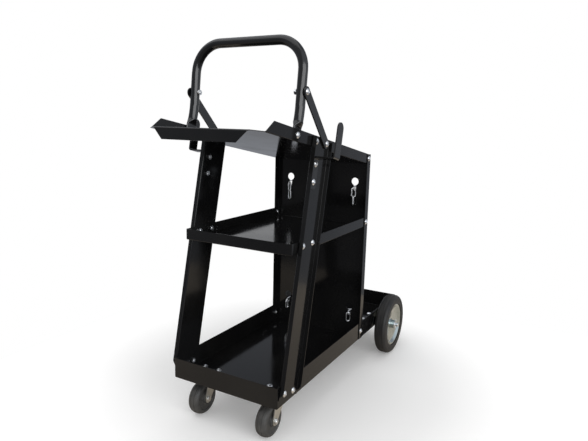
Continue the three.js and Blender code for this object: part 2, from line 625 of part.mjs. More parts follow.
// Handle braces: flat bars from the tube's outer side down to the legs' upper rear bolts.
const braceTop = PLACES.brace_top;
const braceFoot = PLACES.brace_foot;
const braceRun = Math.hypot(braceTop.y - braceFoot.y, braceTop.z - braceFoot.z);
const braceTopIn = HANDLE_HALF_SPAN + TUBE_RADIUS + LAP_GAP;
const braceSplay = Math.atan2(braceTopIn - HOOK_IN, braceRun);
const webOverFoot = TOP_FLANGE - topBoltUp + BRACE_RADIUS;
const webRun = (webOverFoot * braceRun) / (topHeight(braceTop) - topHeight(braceFoot));
const braceFootIn = HOOK_IN + Math.max(BRACE_RADIUS * Math.tan(braceSplay), -webRun * Math.tan(braceSplay));
const braceSlope = Math.atan2(braceFoot.y - braceTop.y, braceTop.z - braceFoot.z);
for (const [name, side] of Object.entries(SIDES)) {
  const bar = plateX(roundBar([0, 0], [0, braceRun], BRACE_RADIUS), 0, side * BRACE_BAR);
  bar.rotateY(side * braceSplay).rotateX(braceSlope).translate(side * braceFootIn, braceFoot.y, braceFoot.z);
  piece(`${name}_handle_brace`, cut(bar, ...holesAt('brace_foot', 'brace_top')), PAINT);
}

// Domed bolts on both sides: the outer and inner faces that each one clamps.
const braceDepth = BRACE_BAR / Math.cos(braceSplay) + BOLT_HEAD_RADIUS * Math.abs(Math.tan(braceSplay));
const CLAMPED = {
  leg_top_front: [WEB_OUT, INNER],
  brace_foot: [braceFootIn + braceDepth, INNER],
  hook_upper: [hookOut, WEB_IN],
  hook_lower: [hookOut, WEB_IN],
  shelf_front: [WEB_OUT, INNER],
  shelf_rear: [WEB_OUT, INNER],
  foot_front: [WEB_OUT, INNER],
  foot_rear: [WEB_OUT, INNER],
  panel_top: [WEB_OUT, INNER],
  panel_middle: [WEB_OUT, INNER],
  panel_bottom: [WEB_OUT, INNER],
  handle_end: [HALF, tabIn],
  brace_top: [braceTopIn + braceDepth, HANDLE_HALF_SPAN - TUBE_RADIUS],
};
for (const [name, side] of Object.entries(SIDES)) {
  for (const [bolt, [outer, inner]] of Object.entries(CLAMPED)) {
    piece(`${name}_${bolt}_bolt`, boltX(side, outer, inner, PLACES[bolt]), ZINC);
  }
}

// Rear axle, hung under the base floor in two saddle brackets.
const tyreIn = HALF + AXLE_SPAN_CLEARANCE;
const tyreOut = tyreIn + TYRE_WIDTH;
const hubOut = tyreOut;
const washerOut = hubOut + RUNNING_GAP + WASHER_THICKNESS;
const cotterX = washerOut + RUNNING_GAP + COTTER_RADIUS;
const axleEnd = cotterX + AXLE_TIP;
const [underAxle, aboveAxle] = [AXLE_Z - 2 * AXLE_RADIUS, AXLE_Z + 2 * AXLE_RADIUS];
function cotterHole(side) {
  return rodZ(COTTER_RADIUS + RUNNING_GAP, underAxle, aboveAxle, side * cotterX, AXLE_Y, BOLT_SIDES);
}
piece('rear_axle', cut(
  rodX(AXLE_RADIUS, -axleEnd, axleEnd, AXLE_Y, AXLE_Z),
  cotterHole(SIDES.left),
  cotterHole(SIDES.right),
), ZINC);

const saddleIn = AXLE_RADIUS + RUNNING_GAP;
const saddleOut = saddleIn + BRACKET_BAR;
const earTop = BASE_UNDERSIDE - LAP_GAP;
const earReach = BRACKET_BOLT_REACH + BRACKET_EAR;
for (const [name, side] of Object.entries(SIDES)) {
  const [inEnd, outEnd] = [side * BRACKET_X - BRACKET_WIDTH / 2, side * BRACKET_X + BRACKET_WIDTH / 2];
  const [earFront, earRear] = [AXLE_Y - earReach, AXLE_Y + earReach];
  const bolts = bracketBolts.filter((bolt) => bolt.side === side);
  const overAxle = box(inEnd - SHEET, outEnd + SHEET, earFront, earRear, AXLE_Z, AXLE_Z + 2 * saddleOut);
  const saddle = join(
    cut(rodX(saddleOut, inEnd, outEnd, AXLE_Y, AXLE_Z, CASTER_SIDES), overAxle),
    box(inEnd, outEnd, AXLE_Y - saddleOut, AXLE_Y + saddleOut, AXLE_Z, earTop),
    box(inEnd, outEnd, earFront, earRear, earTop - BRACKET_BAR, earTop),
    ...bolts.map(({ x, y }) => floorBolt(x, y, earTop - BRACKET_BAR)),
  );
  const throat = join(
    rodX(saddleIn, inEnd - SHEET, outEnd + SHEET, AXLE_Y, AXLE_Z, CASTER_SIDES),
    box(inEnd - SHEET, outEnd + SHEET, AXLE_Y - saddleIn, AXLE_Y + saddleIn, AXLE_Z, earTop + SHEET),
  );
  piece(`${name}_axle_bracket`, cut(saddle, throat), ZINC);
}

// Rear wheels: a pressed steel disc with a rubber tyre, kept on by a washer and a split pin.
const BORE = AXLE_RADIUS + RUNNING_GAP;
const rimSeat = RIM_RADIUS + RUNNING_GAP;
const tyreEdge = REAR_WHEEL_RADIUS - TYRE_EDGE_DROP;
const tyreWall = REAR_WHEEL_RADIUS - TYRE_WALL_DROP;
const tyreProfile = [
  [rimSeat, 0],
  [tyreWall, 0],
  [tyreEdge, TYRE_EDGE_INSET],
  [REAR_WHEEL_RADIUS, TYRE_TREAD_INSET],
  [REAR_WHEEL_RADIUS, TYRE_WIDTH - TYRE_TREAD_INSET],
  [tyreEdge, TYRE_WIDTH - TYRE_EDGE_INSET],
  [tyreWall, TYRE_WIDTH],
  [rimSeat, TYRE_WIDTH],
  [rimSeat, 0],
];
const hubIn = LAP_GAP + SHEET - AXLE_SPAN_CLEARANCE;
const discFace = TYRE_WIDTH - RIM_INSET - DISC_DISH;
const rimFace = TYRE_WIDTH - RIM_INSET;
const webRadius = RIM_RADIUS - RIM_FLANGE;
const discProfile = [
  [BORE, hubIn],
  [HUB_RADIUS, hubIn],
  [HUB_RADIUS, discFace - DISC_WEB],
  [webRadius - DISC_DISH, discFace - DISC_WEB],
  [webRadius - DISC_WEB, RIM_INSET],
  [RIM_RADIUS, RIM_INSET],
  [RIM_RADIUS, rimFace],
  [webRadius, rimFace],
  [webRadius - DISC_DISH, discFace],
  [HUB_RADIUS + DISC_DISH, discFace],
  [HUB_RADIUS, TYRE_WIDTH],
  [BORE, TYRE_WIDTH],
  [BORE, hubIn],
];
const washerProfile = [
  [BORE, 0],
  [WASHER_RADIUS, 0],
  [WASHER_RADIUS, WASHER_THICKNESS],
  [BORE, WASHER_THICKNESS],
  [BORE, 0],
];
for (const [name, side] of Object.entries(SIDES)) {
  const onAxle = (profile, x, sides) => turnedX(profile, side, side * x, AXLE_Y, AXLE_Z, sides);
  piece(`${name}_rear_tyre`, onAxle(tyreProfile, tyreIn, WHEEL_SIDES), RUBBER);
  piece(`${name}_rear_wheel_disc`, onAxle(discProfile, tyreIn, WHEEL_SIDES), ZINC);
  piece(`${name}_axle_washer`, onAxle(washerProfile, hubOut + RUNNING_GAP, 2 * ROD_SIDES), ZINC);
  const eyeZ = AXLE_Z + COTTER_LENGTH / 2 + COTTER_EYE;
  const eye = new THREE.TorusGeometry(COTTER_EYE, COTTER_RADIUS, BOLT_SIDES, 2 * BOLT_SIDES);
  piece(`${name}_cotter_pin`, join(
    rodZ(COTTER_RADIUS, AXLE_Z - COTTER_LENGTH / 2, eyeZ - COTTER_EYE, side * cotterX, AXLE_Y, BOLT_SIDES),
    eye.rotateY(Math.PI / 2).translate(side * cotterX, AXLE_Y, eyeZ),
  ), ZINC);
}

// Swivel casters: a bolted plate with its bearing race and kingpin, a pressed fork, an axle bolt and a wheel.
const plateTop = BASE_UNDERSIDE - LAP_GAP;
const plateUnder = plateTop - CASTER_PLATE;
const raceUnder = plateUnder - RACE_HEIGHT;
const crownTop = raceUnder - RUNNING_GAP;
const crownUnder = crownTop - FORK_BAR;
const kingpinEnd = crownUnder - RUNNING_GAP - KINGPIN_HEAD;
const forkIn = CASTER_WHEEL_WIDTH / 2 + FORK_GAP;
const forkOut = forkIn + FORK_BAR;
const casterAxleY = CASTER_Y - CASTER_TRAIL;
const casterBore = CASTER_AXLE_RADIUS + RUNNING_GAP;
const casterHubEnd = FORK_GAP - RUNNING_GAP;
const casterProfile = [
  [casterBore, -casterHubEnd],
  [CASTER_HUB_RADIUS, -casterHubEnd],
  [CASTER_WEB_RADIUS, CASTER_WEB_INSET],
  [CASTER_RIM_RADIUS, CASTER_WEB_INSET],
  [CASTER_WHEEL_RADIUS - CASTER_SHOULDER, 0],
  [CASTER_WHEEL_RADIUS, CASTER_SHOULDER],
  [CASTER_WHEEL_RADIUS, CASTER_WHEEL_WIDTH - CASTER_SHOULDER],
  [CASTER_WHEEL_RADIUS - CASTER_SHOULDER, CASTER_WHEEL_WIDTH],
  [CASTER_RIM_RADIUS, CASTER_WHEEL_WIDTH - CASTER_WEB_INSET],
  [CASTER_WEB_RADIUS, CASTER_WHEEL_WIDTH - CASTER_WEB_INSET],
  [CASTER_HUB_RADIUS, CASTER_WHEEL_WIDTH + casterHubEnd],
  [casterBore, CASTER_WHEEL_WIDTH + casterHubEnd],
  [casterBore, -casterHubEnd],
];
// One cheek of the fork: wide under the crown, narrowing to a round eye about the axle.
const cheek = new THREE.Shape();
cheek.moveTo(CASTER_Y + FORK_CROWN, crownTop);
cheek.lineTo(CASTER_Y - FORK_CROWN, crownTop);
cheek.lineTo(casterAxleY - FORK_EYE, CASTER_WHEEL_RADIUS);
cheek.absarc(casterAxleY, CASTER_WHEEL_RADIUS, FORK_EYE, Math.PI, 2 * Math.PI - FORK_EYE_TURN, false);
cheek.lineTo(CASTER_Y + FORK_CROWN, crownUnder - FORK_CHEEK_DROP);
cheek.closePath();
for (const [name, side] of Object.entries(SIDES)) {
  const x = side * CASTER_X;
  const bolts = casterBolts.filter((bolt) => bolt.side === side);
  const [halfX, halfY] = [CASTER_PLATE_X / 2, CASTER_PLATE_Y / 2];
  piece(`${name}_caster_plate`, join(
    box(x - halfX, x + halfX, CASTER_Y - halfY, CASTER_Y + halfY, plateUnder, plateTop),
    rodZ(RACE_RADIUS, raceUnder, plateTop, x, CASTER_Y, CASTER_SIDES),
    rodZ(KINGPIN_RADIUS, kingpinEnd, plateTop, x, CASTER_Y),
    rodZ(KINGPIN_HEAD_RADIUS, kingpinEnd, kingpinEnd + KINGPIN_HEAD, x, CASTER_Y),
    ...bolts.map((bolt) => floorBolt(bolt.x, bolt.y, plateUnder)),
  ), ZINC);
  piece(`${name}_caster_fork`, cut(
    join(
      plateX(cheek, x - forkOut, x - forkIn),
      plateX(cheek, x + forkIn, x + forkOut),
      box(x - forkOut, x + forkOut, CASTER_Y - FORK_CROWN, CASTER_Y + FORK_CROWN, crownUnder, crownTop),
    ),
    rodZ(KINGPIN_RADIUS + KINGPIN_GAP, kingpinEnd, plateTop, x, CASTER_Y, CASTER_SIDES),
    rodX(casterBore, x - 2 * forkOut, x + 2 * forkOut, casterAxleY, CASTER_WHEEL_RADIUS),
  ), ZINC);
  const axleSeat = forkOut + LAP_GAP;
  piece(`${name}_caster_axle`, turnedX([
    [0, -axleSeat - CASTER_AXLE_HEAD],
    [CASTER_AXLE_HEAD_RADIUS, -axleSeat - CASTER_AXLE_HEAD],
    [CASTER_AXLE_HEAD_RADIUS, -axleSeat],
    [CASTER_AXLE_RADIUS, -axleSeat],
    [CASTER_AXLE_RADIUS, axleSeat],
    [CASTER_AXLE_HEAD_RADIUS, axleSeat],
    [CASTER_AXLE_TIP_RADIUS, axleSeat + CASTER_AXLE_HEAD],
    [0, axleSeat + CASTER_AXLE_HEAD],
  ], side, x, casterAxleY, CASTER_WHEEL_RADIUS, ROD_SIDES), ZINC);
  const wheelStart = x - side * CASTER_WHEEL_WIDTH / 2;
  piece(`${name}_caster_wheel`, turnedX(
    casterProfile, side, wheelStart, casterAxleY, CASTER_WHEEL_RADIUS, CASTER_SIDES,
  ), RUBBER);
}

// Safety chains: a link sits through each keyhole's slot, tails hang in front and a loop hangs behind.
const linkArc = (LINK_WIDTH - CHAIN_WIRE) / 2;
const linkReach = (LINK_PITCH + CHAIN_WIRE) / 2;
function link(centre, direction, roll) {
  const straight = linkReach - linkArc;
  const rim = (radius) => {
    const path = new THREE.Path();
    path.absarc(0, straight, radius, 0, Math.PI, false);
    path.absarc(0, -straight, radius, Math.PI, 2 * Math.PI, false);
    path.closePath();
    return path;
  };
  const shape = new THREE.Shape(rim(linkArc + CHAIN_WIRE / 2).getPoints(LINK_STEPS));
  shape.holes.push(new THREE.Path(rim(linkArc - CHAIN_WIRE / 2).getPoints(LINK_STEPS)));
  const ring = new THREE.ExtrudeGeometry(shape, { depth: CHAIN_WIRE, bevelEnabled: false });
  ring.translate(0, 0, -CHAIN_WIRE / 2).rotateY(roll);
  ring.applyQuaternion(new THREE.Quaternion().setFromUnitVectors(new THREE.Vector3(0, 1, 0), direction));
  return ring.translate(centre.x, centre.y, centre.z);
}
const hang = LINK_PITCH + LINK_BITE;
const wireBite = CHAIN_WIRE - LINK_BITE;
const tailY = PANEL_FRONT - LAP_GAP - (LINK_WIDTH + CHAIN_WIRE) * Math.SQRT1_2 / 2;
const slotLinkY = tailY - wireBite + linkReach;
const loopY = slotLinkY + linkReach - wireBite;
// The curve of a chain of a given length that hangs behind the panel from both of its slot links.
function slackLoop(z, length) {
  const sagging = (sag) => new THREE.QuadraticBezierCurve3(
    new THREE.Vector3(-KEYHOLE_X, loopY, z),
    new THREE.Vector3(0, loopY, z - 2 * sag),
    new THREE.Vector3(KEYHOLE_X, loopY, z),
  );
  let [least, most] = [0, length];
  for (let i = 0; i < SAG_HALVINGS; i += 1) {
    const middle = (least + most) / 2;
    if (sagging(middle).getLength() > length) most = middle;
    else least = middle;
  }
  return sagging(least);
}
const DOWN = new THREE.Vector3(0, 0, -1);
const REARWARD = new THREE.Vector3(0, 1, 0);
// How far over the round foot of a slot the square underside of a link comes to rest.
const slotArch = Math.sqrt((KEYHOLE_SLOT_WIDTH ** 2 - CHAIN_WIRE ** 2) / 4);
const slotRest = KEYHOLE_SLOT_WIDTH / 2 - slotArch + 2 * LAP_GAP;
// The loop has an odd number of links, so that both of its ends stand square to a slot link.
const oddLinks = (length) => 2 * Math.ceil((length / hang - 1) / 2) + 1;
const CHAINS = {
  upper: { slack: UPPER_LOOP_SLACK, tail: UPPER_TAIL_LINKS },
  lower: { slack: LOWER_LOOP_SLACK, tail: LOWER_TAIL_LINKS },
};
for (const [level, { slack, tail }] of Object.entries(CHAINS)) {
  const slotFoot = keyholeHeights[level] - KEYHOLE_RADIUS - KEYHOLE_SLOT_LENGTH;
  const linkZ = slotFoot + slotRest + LINK_WIDTH / 2;
  const links = [];
  for (const side of Object.values(SIDES)) {
    const x = side * KEYHOLE_X;
    links.push(link(new THREE.Vector3(x, slotLinkY, linkZ), REARWARD, Math.PI / 2));
    for (let i = 0; i < tail; i += 1) {
      const quarter = (i % 2 ? -1 : 1) * Math.PI / 4;
      links.push(link(new THREE.Vector3(x, tailY, linkZ - hang * (i + 0.5)), DOWN, quarter));
    }
  }
  const count = oddLinks(2 * KEYHOLE_X + slack);
  const loop = slackLoop(linkZ, count * hang);
  for (let i = 0; i < count; i += 1) {
    const at = (i + 0.5) / count;
    links.push(link(loop.getPointAt(at), loop.getTangentAt(at), (i % 2) * Math.PI / 2));
  }
  piece(`${level}_chain`, join(...links), ZINC);
}

// The finished cart stands on z = 0, centred on its own box.
const reach = new THREE.Box3().setFromObject(cart);
cart.position.y = -(reach.min.y + reach.max.y) / 2;

export default cart;
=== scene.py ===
"""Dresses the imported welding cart: folded sheet, bent tube, zinc hardware, rubber wheels and round-wire chains.

Lengths are metres in the cart's own frame: +X to its right, +Y to its rear, +Z up, the floor at z = 0.
"""

import logging
import math
from dataclasses import dataclass, replace
from enum import Enum
from typing import Callable, Iterable, Sequence

import bmesh
import bpy
from mathutils import Matrix, Vector


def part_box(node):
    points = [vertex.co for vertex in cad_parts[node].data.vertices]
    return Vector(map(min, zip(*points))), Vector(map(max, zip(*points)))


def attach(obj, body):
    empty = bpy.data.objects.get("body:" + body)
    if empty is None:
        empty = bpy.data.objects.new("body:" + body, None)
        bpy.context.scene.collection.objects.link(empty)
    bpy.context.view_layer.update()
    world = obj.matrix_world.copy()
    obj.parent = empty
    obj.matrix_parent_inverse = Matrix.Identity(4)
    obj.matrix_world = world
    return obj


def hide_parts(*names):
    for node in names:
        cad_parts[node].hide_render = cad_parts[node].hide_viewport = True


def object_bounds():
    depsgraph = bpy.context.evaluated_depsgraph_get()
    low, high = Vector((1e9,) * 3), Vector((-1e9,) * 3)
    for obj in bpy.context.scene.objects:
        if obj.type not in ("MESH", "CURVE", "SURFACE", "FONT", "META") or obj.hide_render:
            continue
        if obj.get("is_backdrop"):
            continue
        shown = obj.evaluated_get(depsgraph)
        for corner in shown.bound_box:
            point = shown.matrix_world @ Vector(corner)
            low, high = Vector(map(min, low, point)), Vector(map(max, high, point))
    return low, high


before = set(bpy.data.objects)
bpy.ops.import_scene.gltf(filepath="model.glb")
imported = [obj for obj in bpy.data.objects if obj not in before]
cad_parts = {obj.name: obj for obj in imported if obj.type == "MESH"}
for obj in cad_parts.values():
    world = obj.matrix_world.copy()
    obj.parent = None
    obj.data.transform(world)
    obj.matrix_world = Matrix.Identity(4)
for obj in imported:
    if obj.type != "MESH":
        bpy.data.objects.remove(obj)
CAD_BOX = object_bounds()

log = logging.getLogger("welding_cart")

MM = 0.001
SHEET = 1.5 * MM
LAP_GAP = 0.25 * MM
IMAGE_WIDTH = 588
Point = Sequence[float]


class Side(Enum):
    """The two sides of the cart, with the sign of their X."""

    LEFT = -1
    RIGHT = 1

    @property
    def word(self) -> str:
        """The side's name as the nodes spell it."""
        return self.name.lower()


class Body(Enum):
    """The cart's bodies that pieces ride on."""

    FRAME = "frame"
    REAR_WHEEL = "{side}_rear_wheel"
    CASTER_SWIVEL = "{side}_caster_swivel"
    CASTER_ROLLER = "{side}_caster_roller"

    def on(self, side: Side = Side.LEFT) -> str:
        """The body's name on one side."""
        return self.value.format(side=side.word)


class Bench:
    """Modelling by operators on one object at a time."""

    @staticmethod
    def clear() -> None:
        """Leaves edit mode and deselects everything."""
        if bpy.context.mode != "OBJECT":
            bpy.ops.object.mode_set(mode="OBJECT")
        bpy.ops.object.select_all(action="DESELECT")

    @staticmethod
    def focus(*objs: bpy.types.Object) -> None:
        """Selects only these objects and makes the first one active."""
        Bench.clear()
        for obj in objs:
            obj.select_set(True)
        bpy.context.view_layer.objects.active = objs[0]

    @staticmethod
    def edit(obj: bpy.types.Object) -> None:
        """Opens one object in edit mode with all of it selected."""
        Bench.focus(obj)
        bpy.ops.object.mode_set(mode="EDIT")
        bpy.ops.mesh.select_all(action="SELECT")

    @staticmethod
    def pick(obj: bpy.types.Object, kind: str, test: Callable) -> int:
        """Selects the vertices, edges or faces of the open object that pass a test.

        Args:
            obj: the object that is open in edit mode.
            kind: "VERT", "EDGE" or "FACE".
            test: takes a mesh element and says whether it is wanted.

        Returns:
            How many elements were selected.
        """
        bpy.ops.mesh.select_mode(type=kind)
        bpy.ops.mesh.select_all(action="DESELECT")
        mesh = bmesh.from_edit_mesh(obj.data)
        elements = {"VERT": mesh.verts, "EDGE": mesh.edges, "FACE": mesh.faces}[kind]
        wanted = [element for element in elements if test(element)]
        for element in wanted:
            element.select_set(True)
        mesh.select_flush_mode()
        bmesh.update_edit_mesh(obj.data)
        return len(wanted)

    @staticmethod
    def close(obj: bpy.types.Object, tidy: bool = True) -> bpy.types.Object:
        """Leaves edit mode, merges doubles, points faces outwards and puts the object's place into its mesh.

        Args:
            obj: the object that is open in edit mode.
            tidy: whether doubles are merged and normals recalculated.

        Returns:
            The same object, at the origin.
        """
        if tidy:
            bpy.ops.mesh.select_all(action="SELECT")
            bpy.ops.mesh.remove_doubles(threshold=1e-6)
            bpy.ops.mesh.normals_make_consistent(inside=False)
        bpy.ops.object.mode_set(mode="OBJECT")
        Bench.focus(obj)
        bpy.ops.object.transform_apply(location=True, rotation=True, scale=True)
        return obj

    @staticmethod
    def face_down(obj: bpy.types.Object) -> None:
        """Points the faces of an open tray outwards, so that its floor faces down."""
        bpy.ops.mesh.select_all(action="SELECT")
        bpy.ops.mesh.normals_make_consistent(inside=False)
        mesh = bmesh.from_edit_mesh(obj.data)
        if max(mesh.faces, key=lambda face: face.calc_area()).normal.z > 0:
            bpy.ops.mesh.flip_normals()

    @staticmethod
    def draw(name: str, points: Iterable[Point]) -> bpy.types.Object:
        """Draws a line of edges by extruding one vertex from point to point, and leaves it open in edit mode.

        Args:
            name: the new object's name.
            points: the corners of the line.

        Returns:
            The new object.
        """
        corners = [Vector(point) for point in points]
        Bench.clear()
        bpy.ops.mesh.primitive_plane_add(size=1 * MM)
        obj = bpy.context.object
        obj.name = name
        obj.data.name = name
        bpy.ops.object.mode_set(mode="EDIT")
        bpy.ops.mesh.select_mode(type="VERT")
        bpy.ops.mesh.merge(type="CENTER")
        bpy.ops.mesh.select_all(action="SELECT")
        bpy.ops.transform.translate(value=corners[0])
        for here, there in zip(corners, corners[1:]):
            bpy.ops.mesh.extrude_region_move(TRANSFORM_OT_translate={"value": there - here})
        bpy.ops.mesh.select_all(action="SELECT")
        return obj

    @staticmethod
    def turned(name: str, profile: Iterable[Point], centre: Point, side: int = 1, steps: int = 48) -> bpy.types.Object:
        """Turns a profile about an axis along X.

        Args:
            name: the new object's name.
            profile: pairs of radius and distance along the axis.
            centre: where the axis has distance zero.
            side: 1 or -1, the way along X in which distances run.
            steps: how many facets the turn has.

        Returns:
            The closed solid.
        """
        origin = Vector(centre)
        points = [origin + Vector((side * along, 0, radius)) for radius, along in profile]
        obj = Bench.draw(name, points)
        bpy.ops.mesh.spin(steps=steps, angle=2 * math.pi, center=origin, axis=(1, 0, 0))
        return Bench.close(obj)

    @staticmethod
    def plate(name: str, outline: Iterable[Point], depth: Point) -> bpy.types.Object:
        """Fills a closed outline and extrudes it.

        Args:
            name: the new object's name.
            outline: the corners of the flat outline.
            depth: the vector of the extrusion.

        Returns:
            The closed solid.
        """
        obj = Bench.draw(name, outline)
        bpy.ops.mesh.edge_face_add()
        bpy.ops.mesh.extrude_region_move(TRANSFORM_OT_translate={"value": Vector(depth)})
        return Bench.close(obj)

    @staticmethod
    def strip(name: str, section: Iterable[Point], run: Point, thickness: float, offset: float) -> bpy.types.Object:
        """Sweeps an open section along a straight run and gives it a wall.

        Args:
            name: the new object's name.
            section: the corners of the open section.
            run: the vector of the sweep.
            thickness: the wall's thickness.
            offset: -1, 0 or 1, the side of the section that the wall lies on.

        Returns:
            The closed solid.
        """
        obj = Bench.draw(name, section)
        bpy.ops.mesh.extrude_region_move(TRANSFORM_OT_translate={"value": Vector(run)})
        Bench.close(obj, tidy=False)
        Bench.modify(obj, "SOLIDIFY", thickness=thickness, offset=offset, use_even_offset=True)
        Bench.edit(obj)
        return Bench.close(obj)

    @staticmethod
    def modify(obj: bpy.types.Object, kind: str, **settings: object) -> None:
        """Adds a modifier with these settings and applies it."""
        Bench.focus(obj)
        modifier = obj.modifiers.new(kind.title(), kind)
        for key, value in settings.items():
            setattr(modifier, key, value)
        bpy.ops.object.modifier_apply(modifier=modifier.name)

    @staticmethod
    def carve(obj: bpy.types.Object, tool: bpy.types.Object, operation: str = "DIFFERENCE") -> None:
        """Cuts, joins or trims an object by a tool, which is then deleted."""
        Bench.modify(obj, "BOOLEAN", operation=operation, object=tool, solver="EXACT")
        bpy.data.objects.remove(tool)

    @staticmethod
    def place(obj: bpy.types.Object, turn: Matrix, move: Point = (0, 0, 0)) -> bpy.types.Object:
        """Turns an object about the origin, moves it and puts that into its mesh."""
        obj.matrix_world = Matrix.Translation(Vector(move)) @ turn.to_4x4()
        Bench.focus(obj)
        bpy.ops.object.transform_apply(location=True, rotation=True, scale=True)
        return obj

    @staticmethod
    def join(name: str, *objs: bpy.types.Object) -> bpy.types.Object:
        """Joins objects into one piece of that name."""
        Bench.focus(*objs)
        bpy.ops.object.join()
        whole = bpy.context.object
        whole.name = name
        whole.data.name = name
        return whole

    @staticmethod
    def copy(obj: bpy.types.Object, name: str, mirrored: bool = False) -> bpy.types.Object:
        """Copies an object with its own mesh, as it is or mirrored in the cart's middle plane.

        Args:
            obj: the object to copy.
            name: the copy's name.
            mirrored: whether X changes sign.

        Returns:
            The copy.
        """
        Bench.focus(obj)
        bpy.ops.object.duplicate(linked=False)
        made = bpy.context.object
        made.name = name
        made.data.name = name
        if mirrored:
            Bench.edit(made)
            bpy.ops.transform.resize(value=(-1, 1, 1), center_override=(0, 0, 0))
            bpy.ops.mesh.flip_normals()
            Bench.close(made, tidy=False)
        return made

    @staticmethod
    def break_edges(obj: bpy.types.Object, width: float, segments: int = 2, angle: float = 40) -> None:
        """Rounds the sharp edges of a piece and weights its normals, so that flat faces stay flat."""
        Bench.modify(
            obj, "BEVEL", width=width, segments=segments, limit_method="ANGLE",
            angle_limit=math.radians(angle), use_clamp_overlap=True, miter_outer="MITER_ARC",
        )
        Bench.soften(obj)

    @staticmethod
    def soften(obj: bpy.types.Object, angle: float = 40) -> None:
        """Shades a piece smooth up to an angle, with normals weighted by face area."""
        Bench.focus(obj)
        bpy.ops.object.shade_smooth_by_angle(angle=math.radians(angle))
        Bench.modify(obj, "WEIGHTED_NORMAL", keep_sharp=True, weight=60)


def filleted(points: Sequence[Point], radius: float, steps: int = 5) -> list[Vector]:
    """Rounds the inner corners of an open line of straight stretches.

    Args:
        points: the line's corners.
        radius: the radius at each inner corner.
        steps: how many edges each arc has.

    Returns:
        The line's corners with an arc in place of each inner corner.
    """
    corners = [Vector(point) for point in points]
    line = [corners[0]]
    for before, corner, after in zip(corners, corners[1:], corners[2:]):
        inward, outward = (before - corner).normalized(), (after - corner).normalized()
        half = inward.angle(outward) / 2
        reach = radius / math.tan(half)
        middle = corner + (inward + outward).normalized() * radius / math.sin(half)
        start = (corner + inward * reach - middle).normalized()
        end = (corner + outward * reach - middle).normalized()
        line += [middle + start.slerp(end, step / steps) * radius for step in range(steps + 1)]
    return [*line, corners[-1]]


def arc(centre: Point, radius: float, start: float, end: float, steps: int) -> list[tuple[float, float]]:
    """Points on a circle in a plane, from one angle to another, both included."""
    turns = [start + (end - start) * step / steps for step in range(steps + 1)]
    return [(centre[0] + radius * math.cos(turn), centre[1] + radius * math.sin(turn)) for turn in turns]


